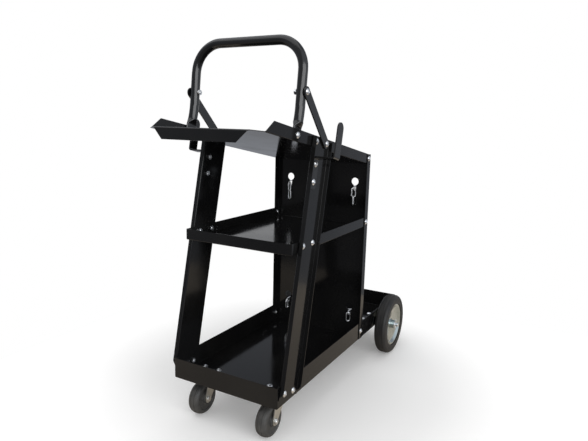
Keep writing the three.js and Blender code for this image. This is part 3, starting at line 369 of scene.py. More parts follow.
class Texture:
    """Shader node groups that several finishes share."""

    @staticmethod
    def group(name: str, inputs: dict[str, tuple[str, float]], outputs: dict[str, str]) -> bpy.types.NodeTree:
        """Makes an empty group with named sockets, or finds the one that was made.

        Args:
            name: the group's name.
            inputs: each input's socket type and default.
            outputs: each output's socket type.

        Returns:
            The group's node tree, with its input and output nodes named "in" and "out".
        """
        tree = bpy.data.node_groups.new(name, "ShaderNodeTree")
        for label, (kind, default) in inputs.items():
            socket = tree.interface.new_socket(label, in_out="INPUT", socket_type=kind)
            if kind == "NodeSocketFloat":
                socket.default_value = default
        for label, kind in outputs.items():
            tree.interface.new_socket(label, in_out="OUTPUT", socket_type=kind)
        entry = tree.nodes.new("NodeGroupInput")
        entry.name = "in"
        leave = tree.nodes.new("NodeGroupOutput")
        leave.name = "out"
        return tree

    @staticmethod
    def node(tree: bpy.types.NodeTree, kind: str, feeds: dict[str | int, object], **settings: object) -> bpy.types.Node:
        """Adds a node, sets its properties and links or sets its inputs.

        Args:
            tree: the node tree.
            kind: the node's type.
            feeds: each input with the socket that feeds it, or with its value.
            settings: the node's properties.

        Returns:
            The new node.
        """
        node = tree.nodes.new(kind)
        for key, value in settings.items():
            setattr(node, key, value)
        for key, value in feeds.items():
            if isinstance(value, bpy.types.NodeSocket):
                tree.links.new(value, node.inputs[key])
            else:
                node.inputs[key].default_value = value
        return node

    @staticmethod
    def smudges() -> bpy.types.NodeTree:
        """A group whose mask shows soft patches of handling and dust, finer specks among them."""
        name = "handling smudges"
        if name in bpy.data.node_groups:
            return bpy.data.node_groups[name]
        tree = Texture.group(
            name,
            {"Vector": ("NodeSocketVector", 0), "Patch Scale": ("NodeSocketFloat", 9.0),
             "Speck Scale": ("NodeSocketFloat", 260.0), "Speck Share": ("NodeSocketFloat", 0.35)},
            {"Mask": "NodeSocketFloat"},
        )
        place = tree.nodes["in"].outputs
        patches = Texture.node(tree, "ShaderNodeTexNoise", {
            "Vector": place["Vector"], "Scale": place["Patch Scale"], "Detail": 5.0, "Roughness": 0.6})
        soft = Texture.node(tree, "ShaderNodeMapRange", {
            "Value": patches.outputs["Fac"], "From Min": 0.42, "From Max": 0.72})
        specks = Texture.node(tree, "ShaderNodeTexNoise", {
            "Vector": place["Vector"], "Scale": place["Speck Scale"], "Detail": 2.0})
        fine = Texture.node(tree, "ShaderNodeMapRange", {
            "Value": specks.outputs["Fac"], "From Min": 0.58, "From Max": 0.75})
        some = Texture.node(tree, "ShaderNodeMath", {
            0: fine.outputs["Result"], 1: place["Speck Share"]}, operation="MULTIPLY")
        both = Texture.node(tree, "ShaderNodeMath", {
            0: soft.outputs["Result"], 1: some.outputs[0]}, operation="MAXIMUM")
        tree.links.new(both.outputs[0], tree.nodes["out"].inputs["Mask"])
        return tree

    @staticmethod
    def grain() -> bpy.types.NodeTree:
        """A group whose height shows a fine skin, such as orange peel or moulded rubber, at two scales."""
        name = "fine skin"
        if name in bpy.data.node_groups:
            return bpy.data.node_groups[name]
        tree = Texture.group(
            name,
            {"Vector": ("NodeSocketVector", 0), "Coarse Scale": ("NodeSocketFloat", 180.0),
             "Fine Scale": ("NodeSocketFloat", 900.0), "Fine Share": ("NodeSocketFloat", 0.4)},
            {"Height": "NodeSocketFloat"},
        )
        place = tree.nodes["in"].outputs
        coarse = Texture.node(tree, "ShaderNodeTexNoise", {
            "Vector": place["Vector"], "Scale": place["Coarse Scale"], "Detail": 1.0})
        fine = Texture.node(tree, "ShaderNodeTexNoise", {
            "Vector": place["Vector"], "Scale": place["Fine Scale"], "Detail": 2.0})
        some = Texture.node(tree, "ShaderNodeMath", {
            0: fine.outputs["Fac"], 1: place["Fine Share"]}, operation="MULTIPLY")
        both = Texture.node(tree, "ShaderNodeMath", {
            0: coarse.outputs["Fac"], 1: some.outputs[0]}, operation="ADD")
        tree.links.new(both.outputs[0], tree.nodes["out"].inputs["Height"])
        return tree


@dataclass(frozen=True)
class Finish:
    """One surface finish: its colours, gloss and the scale of its skin.

    The clean colour turns to the worn colour, and the clean roughness to the worn one, under the smudges.
    """

    name: str
    slot: str
    clean: tuple[float, float, float]
    worn: tuple[float, float, float]
    clean_roughness: float
    worn_roughness: float
    metallic: float = 0.0
    ior: float = 1.5
    specular: float = 0.5
    coat: float = 0.0
    coat_roughness: float = 0.05
    patch_scale: float = 9.0
    speck_scale: float = 260.0
    speck_share: float = 0.35
    coarse_scale: float = 180.0
    fine_scale: float = 900.0
    fine_share: float = 0.4
    bump_strength: float = 0.1
    bump_height: float = 0.02 * MM

    def material(self) -> bpy.types.Material:
        """Builds the finish's material once.

        Returns:
            The material of this finish.
        """
        if self.name in bpy.data.materials:
            return bpy.data.materials[self.name]
        made = bpy.data.materials.new(self.name)
        made.use_nodes = True
        tree = made.node_tree
        shader = tree.nodes["Principled BSDF"]
        place = tree.nodes.new("ShaderNodeTexCoord").outputs["Object"]
        marks = Texture.node(tree, "ShaderNodeGroup", {}, node_tree=Texture.smudges())
        skin = Texture.node(tree, "ShaderNodeGroup", {}, node_tree=Texture.grain())
        for node in (marks, skin):
            tree.links.new(place, node.inputs["Vector"])
        marks.inputs["Patch Scale"].default_value = self.patch_scale
        marks.inputs["Speck Scale"].default_value = self.speck_scale
        marks.inputs["Speck Share"].default_value = self.speck_share
        skin.inputs["Coarse Scale"].default_value = self.coarse_scale
        skin.inputs["Fine Scale"].default_value = self.fine_scale
        skin.inputs["Fine Share"].default_value = self.fine_share
        colour = Texture.node(tree, "ShaderNodeMix", {
            "Factor": marks.outputs["Mask"], 6: (*self.clean, 1), 7: (*self.worn, 1)}, data_type="RGBA")
        rough = Texture.node(tree, "ShaderNodeMapRange", {
            "Value": marks.outputs["Mask"], "To Min": self.clean_roughness, "To Max": self.worn_roughness})
        bump = Texture.node(tree, "ShaderNodeBump", {
            "Height": skin.outputs["Height"], "Strength": self.bump_strength, "Distance": self.bump_height})
        tree.links.new(colour.outputs[2], shader.inputs["Base Color"])
        tree.links.new(rough.outputs["Result"], shader.inputs["Roughness"])
        tree.links.new(bump.outputs["Normal"], shader.inputs["Normal"])
        shader.inputs["Metallic"].default_value = self.metallic
        shader.inputs["IOR"].default_value = self.ior
        shader.inputs["Specular IOR Level"].default_value = self.specular
        shader.inputs["Coat Weight"].default_value = self.coat
        shader.inputs["Coat Roughness"].default_value = self.coat_roughness
        return made


GLOSS_BLACK = Finish(
    "gloss black powder coat", "black_paint", (0.0056, 0.0056, 0.006), (0.009, 0.0088, 0.0086), 0.09, 0.19,
    ior=1.33, coarse_scale=240.0, fine_scale=1400.0, bump_strength=0.05, bump_height=0.03 * MM,
)
GLOSS_BLACK_BARS = Finish(
    "gloss black bars and tube", "black_paint", (0.0056, 0.0056, 0.006), (0.009, 0.0088, 0.0086), 0.12, 0.24,
    ior=1.52, coarse_scale=240.0, fine_scale=1400.0, bump_strength=0.05, bump_height=0.03 * MM,
)
BRIGHT_ZINC = Finish(
    "bright zinc plate", "zinc", (0.8, 0.81, 0.83), (0.64, 0.64, 0.63), 0.24, 0.38, metallic=1.0,
    patch_scale=60.0, coarse_scale=500.0, fine_scale=2600.0, bump_strength=0.15, bump_height=0.02 * MM,
)
DULL_ZINC = Finish(
    "dull zinc pressing", "zinc", (0.68, 0.68, 0.65), (0.52, 0.52, 0.48), 0.3, 0.44, metallic=1.0,
    patch_scale=45.0, coarse_scale=420.0, fine_scale=2200.0, bump_strength=0.2, bump_height=0.03 * MM,
)
# Wheel disc zinc: the greenish tint is the plating's own, but the colour is darker than real zinc plate. That darkness
# is painted shade, standing in for the dim surroundings that the disc reflects.
WHEEL_ZINC_PAINTED_SHADE = Finish(
    "bright zinc wheel disc", "wheel_zinc", (0.47, 0.52, 0.53), (0.35, 0.39, 0.38), 0.14, 0.28, metallic=1.0,
    patch_scale=30.0, coarse_scale=300.0, fine_scale=1800.0, bump_strength=0.1, bump_height=0.03 * MM,
)
CHAIN_ZINC = Finish(
    "zinc chain wire", "chain_zinc", (0.9, 0.91, 0.92), (0.76, 0.76, 0.75), 0.3, 0.42, metallic=1.0,
    patch_scale=120.0, coarse_scale=600.0, fine_scale=2600.0, bump_strength=0.15, bump_height=0.02 * MM,
)
TYRE_RUBBER = Finish(
    "tyre rubber", "tyre", (0.012, 0.012, 0.013), (0.034, 0.032, 0.03), 0.5, 0.72, specular=0.4,
    patch_scale=24.0, speck_scale=700.0, coarse_scale=700.0, fine_scale=2600.0, bump_strength=0.3,
    bump_height=0.05 * MM,
)
CASTER_RUBBER = Finish(
    "caster rubber", "caster_rubber", (0.044, 0.044, 0.043), (0.08, 0.077, 0.072), 0.46, 0.68, specular=0.4,
    patch_scale=40.0, speck_scale=800.0, coarse_scale=800.0, fine_scale=2600.0, bump_strength=0.3,
    bump_height=0.05 * MM,
)


def dress(obj: bpy.types.Object, finish: Finish, body: str, *nodes: str) -> bpy.types.Object:
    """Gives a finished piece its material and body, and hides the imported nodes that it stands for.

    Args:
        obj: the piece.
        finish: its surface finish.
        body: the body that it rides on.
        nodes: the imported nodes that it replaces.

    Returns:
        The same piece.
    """
    obj.data.materials.clear()
    obj.data.materials.append(finish.material())
    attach(obj, body)
    if nodes:
        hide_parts(*nodes)
    log.info("%s: %d faces", obj.name, len(obj.data.polygons))
    return obj


@dataclass
class FoldedTray:
    """A tray folded from one sheet: a floor and four upturned flanges with bent roots."""

    node: str
    bend: float = 2.3 * MM
    edge: float = 0.3 * MM

    def build(self) -> bpy.types.Object:
        """Models the tray in its node's box and dresses it.

        Returns:
            The finished tray.
        """
        low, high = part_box(self.node)
        Bench.clear()
        bpy.ops.mesh.primitive_cube_add(size=1, location=(low + high) / 2)
        tray = bpy.context.object
        tray.name = self.node + "_sheet"
        tray.scale = high - low
        bpy.ops.object.transform_apply(location=True, rotation=True, scale=True)
        Bench.edit(tray)
        Bench.pick(tray, "FACE", lambda face: face.normal.z > 0.9)
        bpy.ops.mesh.delete(type="FACE")
        Bench.pick(tray, "EDGE", lambda edge: len(edge.link_faces) == 2)
        bpy.ops.mesh.bevel(offset=self.bend, segments=4, affect="EDGES")
        Bench.face_down(tray)
        Bench.close(tray, tidy=False)
        Bench.modify(tray, "SOLIDIFY", thickness=SHEET, offset=-1.0, use_even_offset=True)
        Bench.break_edges(tray, self.edge)
        return dress(tray, GLOSS_BLACK, Body.FRAME.on(), self.node)


@dataclass
class TopTray:
    """The tilted tray: side and rear flanges turned up, a slant-ended lip turned down in front."""

    node: str = "top_tray"
    tilt: float = math.radians(9.4)
    flange: float = 23.5 * MM
    corner_inset: float = 27 * MM
    corner_depth: float = 17 * MM
    flange_slant: float = 26 * MM
    lip_height: float = 22 * MM
    lip_slant: float = 20 * MM
    bend: float = 2.0 * MM
    edge: float = 0.3 * MM

    def build(self) -> bpy.types.Object:
        """Models the tray flat in its own frame, tilts it into place and dresses it.

        Returns:
            The finished tray.
        """
        low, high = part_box(self.node)
        rise, run = math.sin(self.tilt), math.cos(self.tilt)
        half = high.x
        front_y = low.y + self.lip_height * rise
        front_z = high.z + (self.corner_depth + self.flange_slant) * rise - self.flange * run
        end = (high.y - front_y - self.flange * rise) / run
        lip_half = half - self.corner_inset
        corner_slope = self.corner_depth / self.corner_inset
        tray = Bench.draw("top_tray_sheet", [
            (-half, self.corner_depth, 0), (-lip_half - SHEET / corner_slope, SHEET, 0),
            (lip_half + SHEET / corner_slope, SHEET, 0), (half, self.corner_depth, 0), (half, end, 0), (-half, end, 0),
        ])
        bpy.ops.mesh.edge_face_add()
        near = 1e-5
        on_side = lambda vert: abs(abs(vert.co.x) - half) < near
        at_rear = lambda vert: abs(vert.co.y - end) < near
        Bench.pick(tray, "EDGE", lambda edge: all(map(on_side, edge.verts))
                   and abs(edge.verts[0].co.x - edge.verts[1].co.x) < near or all(map(at_rear, edge.verts)))
        bpy.ops.mesh.extrude_region_move(TRANSFORM_OT_translate={"value": (0, 0, self.flange)})
        Bench.pick(tray, "VERT", lambda vert: vert.co.z > near and vert.co.y < self.corner_depth + near)
        bpy.ops.transform.translate(value=(0, self.flange_slant, 0))
        Bench.pick(tray, "EDGE", lambda edge: all(abs(vert.co.y - SHEET) < near for vert in edge.verts))
        bpy.ops.mesh.extrude_region_move(TRANSFORM_OT_translate={"value": (0, 0, -self.lip_height)})
        lip_foot = (lip_half - self.lip_slant) / (lip_half + SHEET / corner_slope)
        bpy.ops.transform.resize(value=(lip_foot, 1, 1), center_override=(0, SHEET, -self.lip_height))
        Bench.pick(tray, "EDGE", lambda edge: len(edge.link_faces) == 2)
        bpy.ops.mesh.bevel(offset=self.bend, segments=5, affect="EDGES")
        Bench.face_down(tray)
        Bench.close(tray, tidy=False)
        Bench.modify(tray, "SOLIDIFY", thickness=SHEET, offset=-1.0, use_even_offset=True)
        Bench.break_edges(tray, self.edge)
        Bench.place(tray, Matrix.Rotation(-self.tilt, 3, "X"), (0, front_y, front_z))
        return dress(tray, GLOSS_BLACK, Body.FRAME.on(), self.node)


@dataclass
class BackPanel:
    """The upright panel: one sheet with two flanges turned forward and four keyholes."""

    node: str = "back_panel"
    flange: float = 20.5 * MM
    bend: float = 2.0 * MM
    keyhole_inset: float = 37 * MM
    upper_keyhole_drop: float = 70 * MM
    lower_keyhole_rise: float = 79 * MM
    keyhole_radius: float = 9.5 * MM
    slot_width: float = 7 * MM
    slot_length: float = 14 * MM
    slit: float = 2.2 * MM
    flange_foot: float = 2 * MM
    edge: float = 0.3 * MM

    def keyholes(self) -> list[tuple[float, float]]:
        """The middles of the four round holes, as x and z."""
        _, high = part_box(self.node)
        base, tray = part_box("bottom_tray")
        across = tray.x - self.keyhole_inset
        heights = (high.z - self.upper_keyhole_drop, base.z + self.lower_keyhole_rise)
        return [(side.value * across, height) for side in Side for height in heights]

    def cutter(self, x: float, z: float, rear: float) -> bpy.types.Object:
        """A solid in the shape of one keyhole, right through the panel."""
        half = self.slot_width / 2
        foot = z - self.keyhole_radius - self.slot_length + half
        spread = math.asin(half / self.keyhole_radius)
        outline = arc((x, z), self.keyhole_radius, spread - math.pi / 2, 1.5 * math.pi - spread, 28)
        outline += arc((x, foot), half, math.pi, 2 * math.pi, 12)
        front = rear - 4 * SHEET
        return Bench.plate("keyhole", [(px, front, pz) for px, pz in outline], (0, 8 * SHEET, 0))

    def build(self) -> bpy.types.Object:
        """Models the panel, cuts it and dresses it.

        Returns:
            The finished panel.
        """
        low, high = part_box(self.node)
        base_low, base_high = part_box("bottom_tray")
        tip = high.y - self.flange
        section = filleted([(low.x, tip, low.z), (low.x, high.y, low.z), (high.x, high.y, low.z),
                            (high.x, tip, low.z)], self.bend)
        panel = Bench.strip("back_panel_sheet", section, (0, 0, high.z - low.z), SHEET, 1.0)
        panel_foot = base_low.z + SHEET + LAP_GAP
        inner = base_high.x - SHEET - LAP_GAP
        for side in Side:
            x = side.value * (inner + base_high.x + LAP_GAP) / 2
            Bench.clear()
            bpy.ops.mesh.primitive_cube_add(size=1, location=(x, high.y, base_low.z))
            slit = bpy.context.object
            slit.scale = (base_high.x + LAP_GAP - inner, 6 * SHEET, 2 * (base_high.z + LAP_GAP - base_low.z))
            Bench.carve(panel, slit)
        Bench.clear()
        bpy.ops.mesh.primitive_cube_add(size=1, location=(0, high.y, panel_foot - 10 * MM))
        foot = bpy.context.object
        foot.scale = (2 * inner + SHEET, 6 * SHEET, 20 * MM)
        Bench.carve(panel, foot)
        for x, z in self.keyholes():
            Bench.carve(panel, self.cutter(x, z, high.y))
        Bench.break_edges(panel, self.edge)
        return dress(panel, GLOSS_BLACK, Body.FRAME.on(), self.node)


@dataclass
class LegFrame:
    """A leg's own frame: v runs across its web, u runs up its length from the foot bolts."""

    lean: float = math.radians(12.3)
    width: float = 74 * MM
    foot_margin: float = 11 * MM

    def __post_init__(self) -> None:
        """Reads the leg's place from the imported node."""
        low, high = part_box("right_leg")
        rise, run = math.cos(self.lean), math.sin(self.lean)
        half = self.width / 2
        self.web_in, self.tip = low.x, high.x
        self.foot_y = low.y + half * rise + self.foot_margin * run
        self.foot_z = low.z + half * run + self.foot_margin * rise
        self.head = (high.z - self.foot_z - half * run) / rise

    def place(self, obj: bpy.types.Object) -> bpy.types.Object:
        """Moves a piece from this frame, with v along Y and u along Z, into the cart."""
        return Bench.place(obj, Matrix.Rotation(-self.lean, 3, "X"), (0, self.foot_y, self.foot_z))


@dataclass
class Legs:
    """The two leaning channels, which open outwards."""

    bend: float = 2.2 * MM
    flange_rise: float = 4 * MM
    flange_cut: float = 12 * MM
    edge: float = 0.3 * MM

    def slant_feet(self, leg: bpy.types.Object, place: LegFrame) -> None:
        """Cuts the feet of a leg's flanges on a slant, above the foot of its web.

        Args:
            leg: the right leg, upright in its own frame.
            place: that frame.
        """
        half, foot = place.width / 2, -place.foot_margin
        near, far = place.web_in + SHEET, place.tip + SHEET
        slope = self.flange_cut / (place.tip - place.web_in)
        outline = [(near, foot - SHEET), (far, foot - SHEET)]
        outline += [(x, foot + self.flange_rise + slope * (x - place.web_in)) for x in (far, near)]
        for start in (-half - SHEET, half - 2 * SHEET):
            wedge = Bench.plate("flange_foot_cut", [(x, start, z) for x, z in outline], (0, 3 * SHEET, 0))
            Bench.carve(leg, wedge)

    def build(self) -> list[bpy.types.Object]:
        """Models the right leg, mirrors it and dresses both.

        Returns:
            The finished legs.
        """
        place = LegFrame()
        half, foot = place.width / 2, -place.foot_margin
        section = filleted([(place.tip, -half, foot), (place.web_in, -half, foot), (place.web_in, half, foot),
                            (place.tip, half, foot)], self.bend)
        right = Bench.strip("right_leg_channel", section, (0, 0, place.head - foot), SHEET, 1.0)
        self.slant_feet(right, place)
        place.place(right)
        left = Bench.copy(right, "left_leg_channel", mirrored=True)
        for side, leg in ((Side.RIGHT, right), (Side.LEFT, left)):
            Bench.break_edges(leg, self.edge)
            dress(leg, GLOSS_BLACK, Body.FRAME.on(), side.word + "_leg")
        return [right, left]


@dataclass
class CableHooks:
    """The two bent bars: a bolted tab, an arm that stands out and a round-topped upright."""

    width: float = 25 * MM
    bar: float = 3 * MM
    forward: float = 18 * MM
    upright: float = 73 * MM
    tab: float = 64 * MM
    bend: float = 4.5 * MM
    tab_corner: float = 6 * MM
    edge: float = 0.35 * MM

    def build(self) -> list[bpy.types.Object]:
        """Models the right hook, mirrors it and dresses both.

        Returns:
            The finished hooks.
        """
        place = LegFrame()
        low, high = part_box("right_cable_hook")
        half = self.width / 2
        rise, run = math.cos(place.lean), math.sin(place.lean)
        round_middle = (high.z - place.foot_z - self.forward * run - half) / rise
        top = round_middle + half
        arm = top - self.upright
        near, far = low.x + self.bar / 2, high.x - self.bar / 2
        middle = arm + self.bar / 2
        start = -self.forward - half
        section = filleted([(near, start, arm + self.bar - self.tab), (near, start, middle), (far, start, middle),
                            (far, start, top)], self.bend)
        right = Bench.strip("right_cable_hook_bar", section, (0, self.width, 0), self.bar, 0.0)
        Bench.edit(right)
        close = 1e-5
        along_bar = lambda edge: abs((edge.verts[0].co - edge.verts[1].co).x) > self.bar / 2
        for level, radius in ((top, half - 0.2 * MM), (arm + self.bar - self.tab, self.tab_corner)):
            Bench.pick(right, "EDGE", lambda edge: along_bar(edge) and all(
                abs(vert.co.z - level) < close and abs(abs(vert.co.y + self.forward) - half) < close
                for vert in edge.verts))
            bpy.ops.mesh.bevel(offset=radius, segments=8, affect="EDGES")
        Bench.close(right)
        place.place(right)
        left = Bench.copy(right, "left_cable_hook_bar", mirrored=True)
        for side, hook in ((Side.RIGHT, right), (Side.LEFT, left)):
            Bench.break_edges(hook, self.edge)
            dress(hook, GLOSS_BLACK_BARS, Body.FRAME.on(), side.word + "_cable_hook")
        return [right, left]


def bolt_middle(node: str) -> Vector:
    """The middle of a bolt node's box."""
    low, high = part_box(node)
    return (low + high) / 2


@dataclass
class Handle:
    """The bent tube with its flattened ends, and the two flat braces."""

    radius: float = 9.5 * MM
    inset: float = 4 * MM
    knee_back: float = 12 * MM
    knee_up: float = 42.3 * MM
    knee_run: float = 11.8 * MM
    top_back: float = 15 * MM
    top_up: float = 134 * MM
    corner: float = 57 * MM
    tab_thickness: float = 5 * MM
    tab_half: float = 14.9 * MM
    tab_tip: float = 7 * MM
    tab_corner: float = 4.5 * MM
    tab_reach: float = 13.4 * MM
    taper: float = 13 * MM
    taper_rings: int = 8
    squeeze: float = 1.07
    brace_radius: float = 10 * MM
    brace_bar: float = 3 * MM
    edge: float = 0.4 * MM

    def half_line(self, side: Side) -> list[Vector]:
        """The tube's middle line on one side, from the taper's top up to the middle of the bar."""
        end = bolt_middle("right_handle_end_bolt")
        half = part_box("bottom_tray")[1].x
        x = half - self.inset
        knee = Vector((x, end.y + self.knee_back, end.z + self.knee_up))
        top = Vector((x, knee.y + self.top_back, knee.z + self.top_up))
        down = (Vector((x, end.y, end.z)) - knee).normalized()
        start = Vector((x, end.y, end.z)) - down * (self.tab_reach + self.taper)
        knee_radius = self.knee_run * math.tan(down.angle(top - knee) / 2)
        lower = filleted([start, knee, top], knee_radius, 8)[:-1]
        upper = filleted([knee, top, Vector((0, top.y, top.z))], self.corner, 18)[1:]
        points = [*lower, *upper]
        return [Vector((side.value * point.x, point.y, point.z)) for point in points]

    def tube(self) -> bpy.types.Object:
        """Models the tube along its line, then squeezes and rounds both ends.

        Returns:
            The finished tube, without its finish.
        """
        line = [*self.half_line(Side.LEFT)[:-1], *reversed(self.half_line(Side.RIGHT)[:-1])]
        Bench.clear()
        bpy.ops.curve.primitive_nurbs_path_add()
        path = bpy.context.object
        path.name = "handle_tube_bent"
        curve = path.data
        curve.splines.clear()
        spline = curve.splines.new("POLY")
        spline.points.add(len(line) - 1)
        for point, place in zip(spline.points, line):
            point.co = (*place, 1)
        curve.dimensions = "3D"
        curve.twist_mode = "Z_UP"
        curve.bevel_depth = self.radius
        curve.bevel_resolution = 10
        curve.use_fill_caps = False
        bpy.ops.object.convert(target="MESH")
        tube = bpy.context.object
        for side in Side:
            self.flatten(tube, side)
        Bench.edit(tube)
        Bench.close(tube)
        Bench.soften(tube, 50)
        return tube

    def flatten(self, tube: bpy.types.Object, side: Side) -> None:
        """Extrudes one open end of the tube through its taper into a flat tab with rounded corners.

        Args:
            tube: the tube with both ends open.
            side: the end to shape.
        """
        start, second = self.half_line(side)[:2]
        down = (start - second).normalized()
        across = Vector((1, 0, 0)).cross(down)
        tilt = Matrix((Vector((1, 0, 0)), across, down)).transposed()
        flat = self.tab_thickness / 2
        rings = []
        for step in range(1, self.taper_rings + 1):
            share = step / self.taper_rings
            ease = share * share * (3 - 2 * share)
            rings.append((self.taper * share, self.radius + (flat - self.radius) * ease,
                          self.radius + (self.tab_half - self.radius) * ease))
        corner = self.taper + self.tab_reach + self.tab_tip - self.tab_corner
        for angle in (0, 20, 40, 60, 75, 90):
            turn = math.radians(angle)
            narrow = self.tab_half - self.tab_corner * (1 - math.cos(turn))
            rings.append((corner + self.tab_corner * math.sin(turn), flat, narrow))
        Bench.edit(tube)
        here, thin, wide = start, self.radius, self.radius
        for run, next_thin, next_wide in rings:
            place = start + down * run
            squeeze = self.squeeze if next_thin < thin else 1.0
            Bench.pick(tube, "EDGE", lambda edge: edge.is_boundary and edge.verts[0].co.x * side.value > 0)
            bpy.ops.mesh.extrude_region_move(TRANSFORM_OT_translate={"value": place - here})
            bpy.ops.transform.resize(
                value=(squeeze * next_thin / thin, next_wide / wide, 1), center_override=place,
                orient_type="GLOBAL", orient_matrix=tilt, orient_matrix_type="GLOBAL",
            )
            for face in (-1, 1):
                self.press(tube, place, down, face, next_thin)
            here, thin, wide = place, next_thin, next_wide
        Bench.pick(tube, "EDGE", lambda edge: edge.is_boundary and edge.verts[0].co.x * side.value > 0)
        bpy.ops.mesh.edge_face_add()
        bpy.ops.object.mode_set(mode="OBJECT")

    def press(self, tube: bpy.types.Object, place: Vector, down: Vector, face: int, thin: float) -> None:
        """Presses one side of a ring of the tube flat.

        Args:
            tube: the tube, open in edit mode.
            place: the ring's middle.
            down: the tube's direction there.
            face: 1 or -1, the side along X that is pressed.
            thin: the ring's half thickness after it.
        """
        wall = place.x + face * thin
        near = 1e-5
        found = Bench.pick(tube, "VERT", lambda vert: abs((vert.co - place).dot(down)) < near
                           and abs(vert.co.x - place.x) < 2 * self.radius and (vert.co.x - wall) * face > 0)
        if found:
            bpy.ops.transform.resize(value=(0, 1, 1), center_override=(wall, place.y, place.z))

    def brace(self) -> bpy.types.Object:
        """Models the right brace between its two bolts.

        Returns:
            The flat bar with round ends.
        """
        top, foot = bolt_middle("right_brace_top_bolt"), bolt_middle("right_brace_foot_bolt")
        low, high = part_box("right_handle_brace")
        run = math.hypot(top.y - foot.y, top.z - foot.z)
        top_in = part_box("bottom_tray")[1].x - self.inset + self.radius + LAP_GAP
        leg_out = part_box("right_leg")[0].x + SHEET + LAP_GAP
        splay = math.atan2(top_in - leg_out, run)
        slope = math.atan2(foot.y - top.y, top.z - foot.z)
        outline = arc((0, 0), self.brace_radius, math.pi, 2 * math.pi, 16)
        outline += arc((0, run), self.brace_radius, 0, math.pi, 16)
        bar = Bench.plate("right_handle_brace_bar", [(0, y, z) for y, z in outline], (self.brace_bar, 0, 0))
        turn = Matrix.Rotation(slope, 3, "X") @ Matrix.Rotation(splay, 3, "Y")
        return Bench.place(bar, turn, (leg_out + self.brace_radius * math.tan(splay), foot.y, foot.z))

    def build(self) -> list[bpy.types.Object]:
        """Models the tube and both braces and dresses them.

        Returns:
            The finished pieces.
        """
        tube = dress(self.tube(), GLOSS_BLACK_BARS, Body.FRAME.on(), "handle_tube")
        right = self.brace()
        left = Bench.copy(right, "left_handle_brace_bar", mirrored=True)
        for side, bar in ((Side.RIGHT, right), (Side.LEFT, left)):
            Bench.break_edges(bar, self.edge)
            dress(bar, GLOSS_BLACK_BARS, Body.FRAME.on(), side.word + "_handle_brace")
        return [tube, right, left]


@dataclass
class Bolt:
    """A dome-headed machine screw with a cross recess, and its hexagon nut."""

    shank: float = 3 * MM
    head_radius: float = 6.4 * MM
    head_height: float = 3.6 * MM
    rim: float = 0.7 * MM
    recess: float = 3.2 * MM
    recess_width: float = 1.1 * MM
    recess_depth: float = 1.5 * MM
    nut_radius: float = 5.8 * MM
    nut_height: float = 4.0 * MM
    end: float = 0.6 * MM
    steps: int = 28

    def head(self, name: str, seat: float) -> bpy.types.Object:
        """A head along +X on a seat, with its shank's root.

        Args:
            name: the object's name.
            seat: the seat's place along X.

        Returns:
            The head with its cross recess.
        """
        dome = self.head_height - self.rim
        ball = (self.head_radius ** 2 + dome ** 2) / (2 * dome)
        sweep = math.asin(self.head_radius / ball)
        profile = [(0, seat + self.head_height)]
        for step in range(1, 8):
            turn = sweep * step / 7
            profile.append((ball * math.sin(turn), seat + self.head_height - ball + ball * math.cos(turn)))
        profile += [(self.head_radius, seat), (self.shank, seat), (self.shank, seat - 2 * LAP_GAP),
                    (0, seat - 2 * LAP_GAP)]
        head = Bench.turned(name, profile, (0, 0, 0), 1, self.steps)
        top = seat + self.head_height
        for size in ((self.recess_width, self.recess), (self.recess, self.recess_width)):
            Bench.clear()
            bpy.ops.mesh.primitive_cube_add(size=1, location=(top, 0, 0))
            cross = bpy.context.object
            cross.scale = (2 * self.recess_depth, 2 * size[0], 2 * size[1])
            bpy.ops.object.transform_apply(location=True, rotation=True, scale=True)
            Bench.edit(cross)
            Bench.pick(cross, "FACE", lambda face: face.normal.x < -0.9)
            bpy.ops.transform.resize(value=(1, 0.72, 0.72), center_override=(top, 0, 0))
            Bench.close(cross)
            Bench.carve(head, cross)
        return head

    def nut(self, name: str, face: float) -> bpy.types.Object:
        """A hexagon nut behind a face, with the screw's end standing out of it.

        Args:
            name: the object's name.
            face: the nut's seat along X; the nut lies on its inner side.

        Returns:
            The nut and the screw's end.
        """
        chamfer = 0.7 * MM
        back = face - self.nut_height
        hexagon = Bench.turned(name, [
            (0, face), (self.nut_radius, face), (self.nut_radius, back), (0, back)], (0, 0, 0), 1, 6)
        cone = Bench.turned("nut_chamfer", [
            (0, face), (self.nut_radius - chamfer, face), (self.nut_radius, face - chamfer),
            (self.nut_radius, back + chamfer / 2), (self.nut_radius - chamfer, back), (0, back)], (0, 0, 0), 1, self.steps)
        Bench.carve(hexagon, cone, "INTERSECT")
        thread = [(0, face)]
        pitch, root = 1.0 * MM, self.shank - 0.45 * MM
        along = back + pitch
        thread.append((self.shank, along))
        while along > back - self.end:
            thread += [(root, along - pitch / 2), (self.shank, along - pitch)]
            along -= pitch
        thread.append((root, along - pitch / 2))
        thread.append((0, along - pitch / 2))
        end = Bench.turned("screw_end", thread, (0, 0, 0), 1, 16)
        return Bench.join(name, hexagon, end)


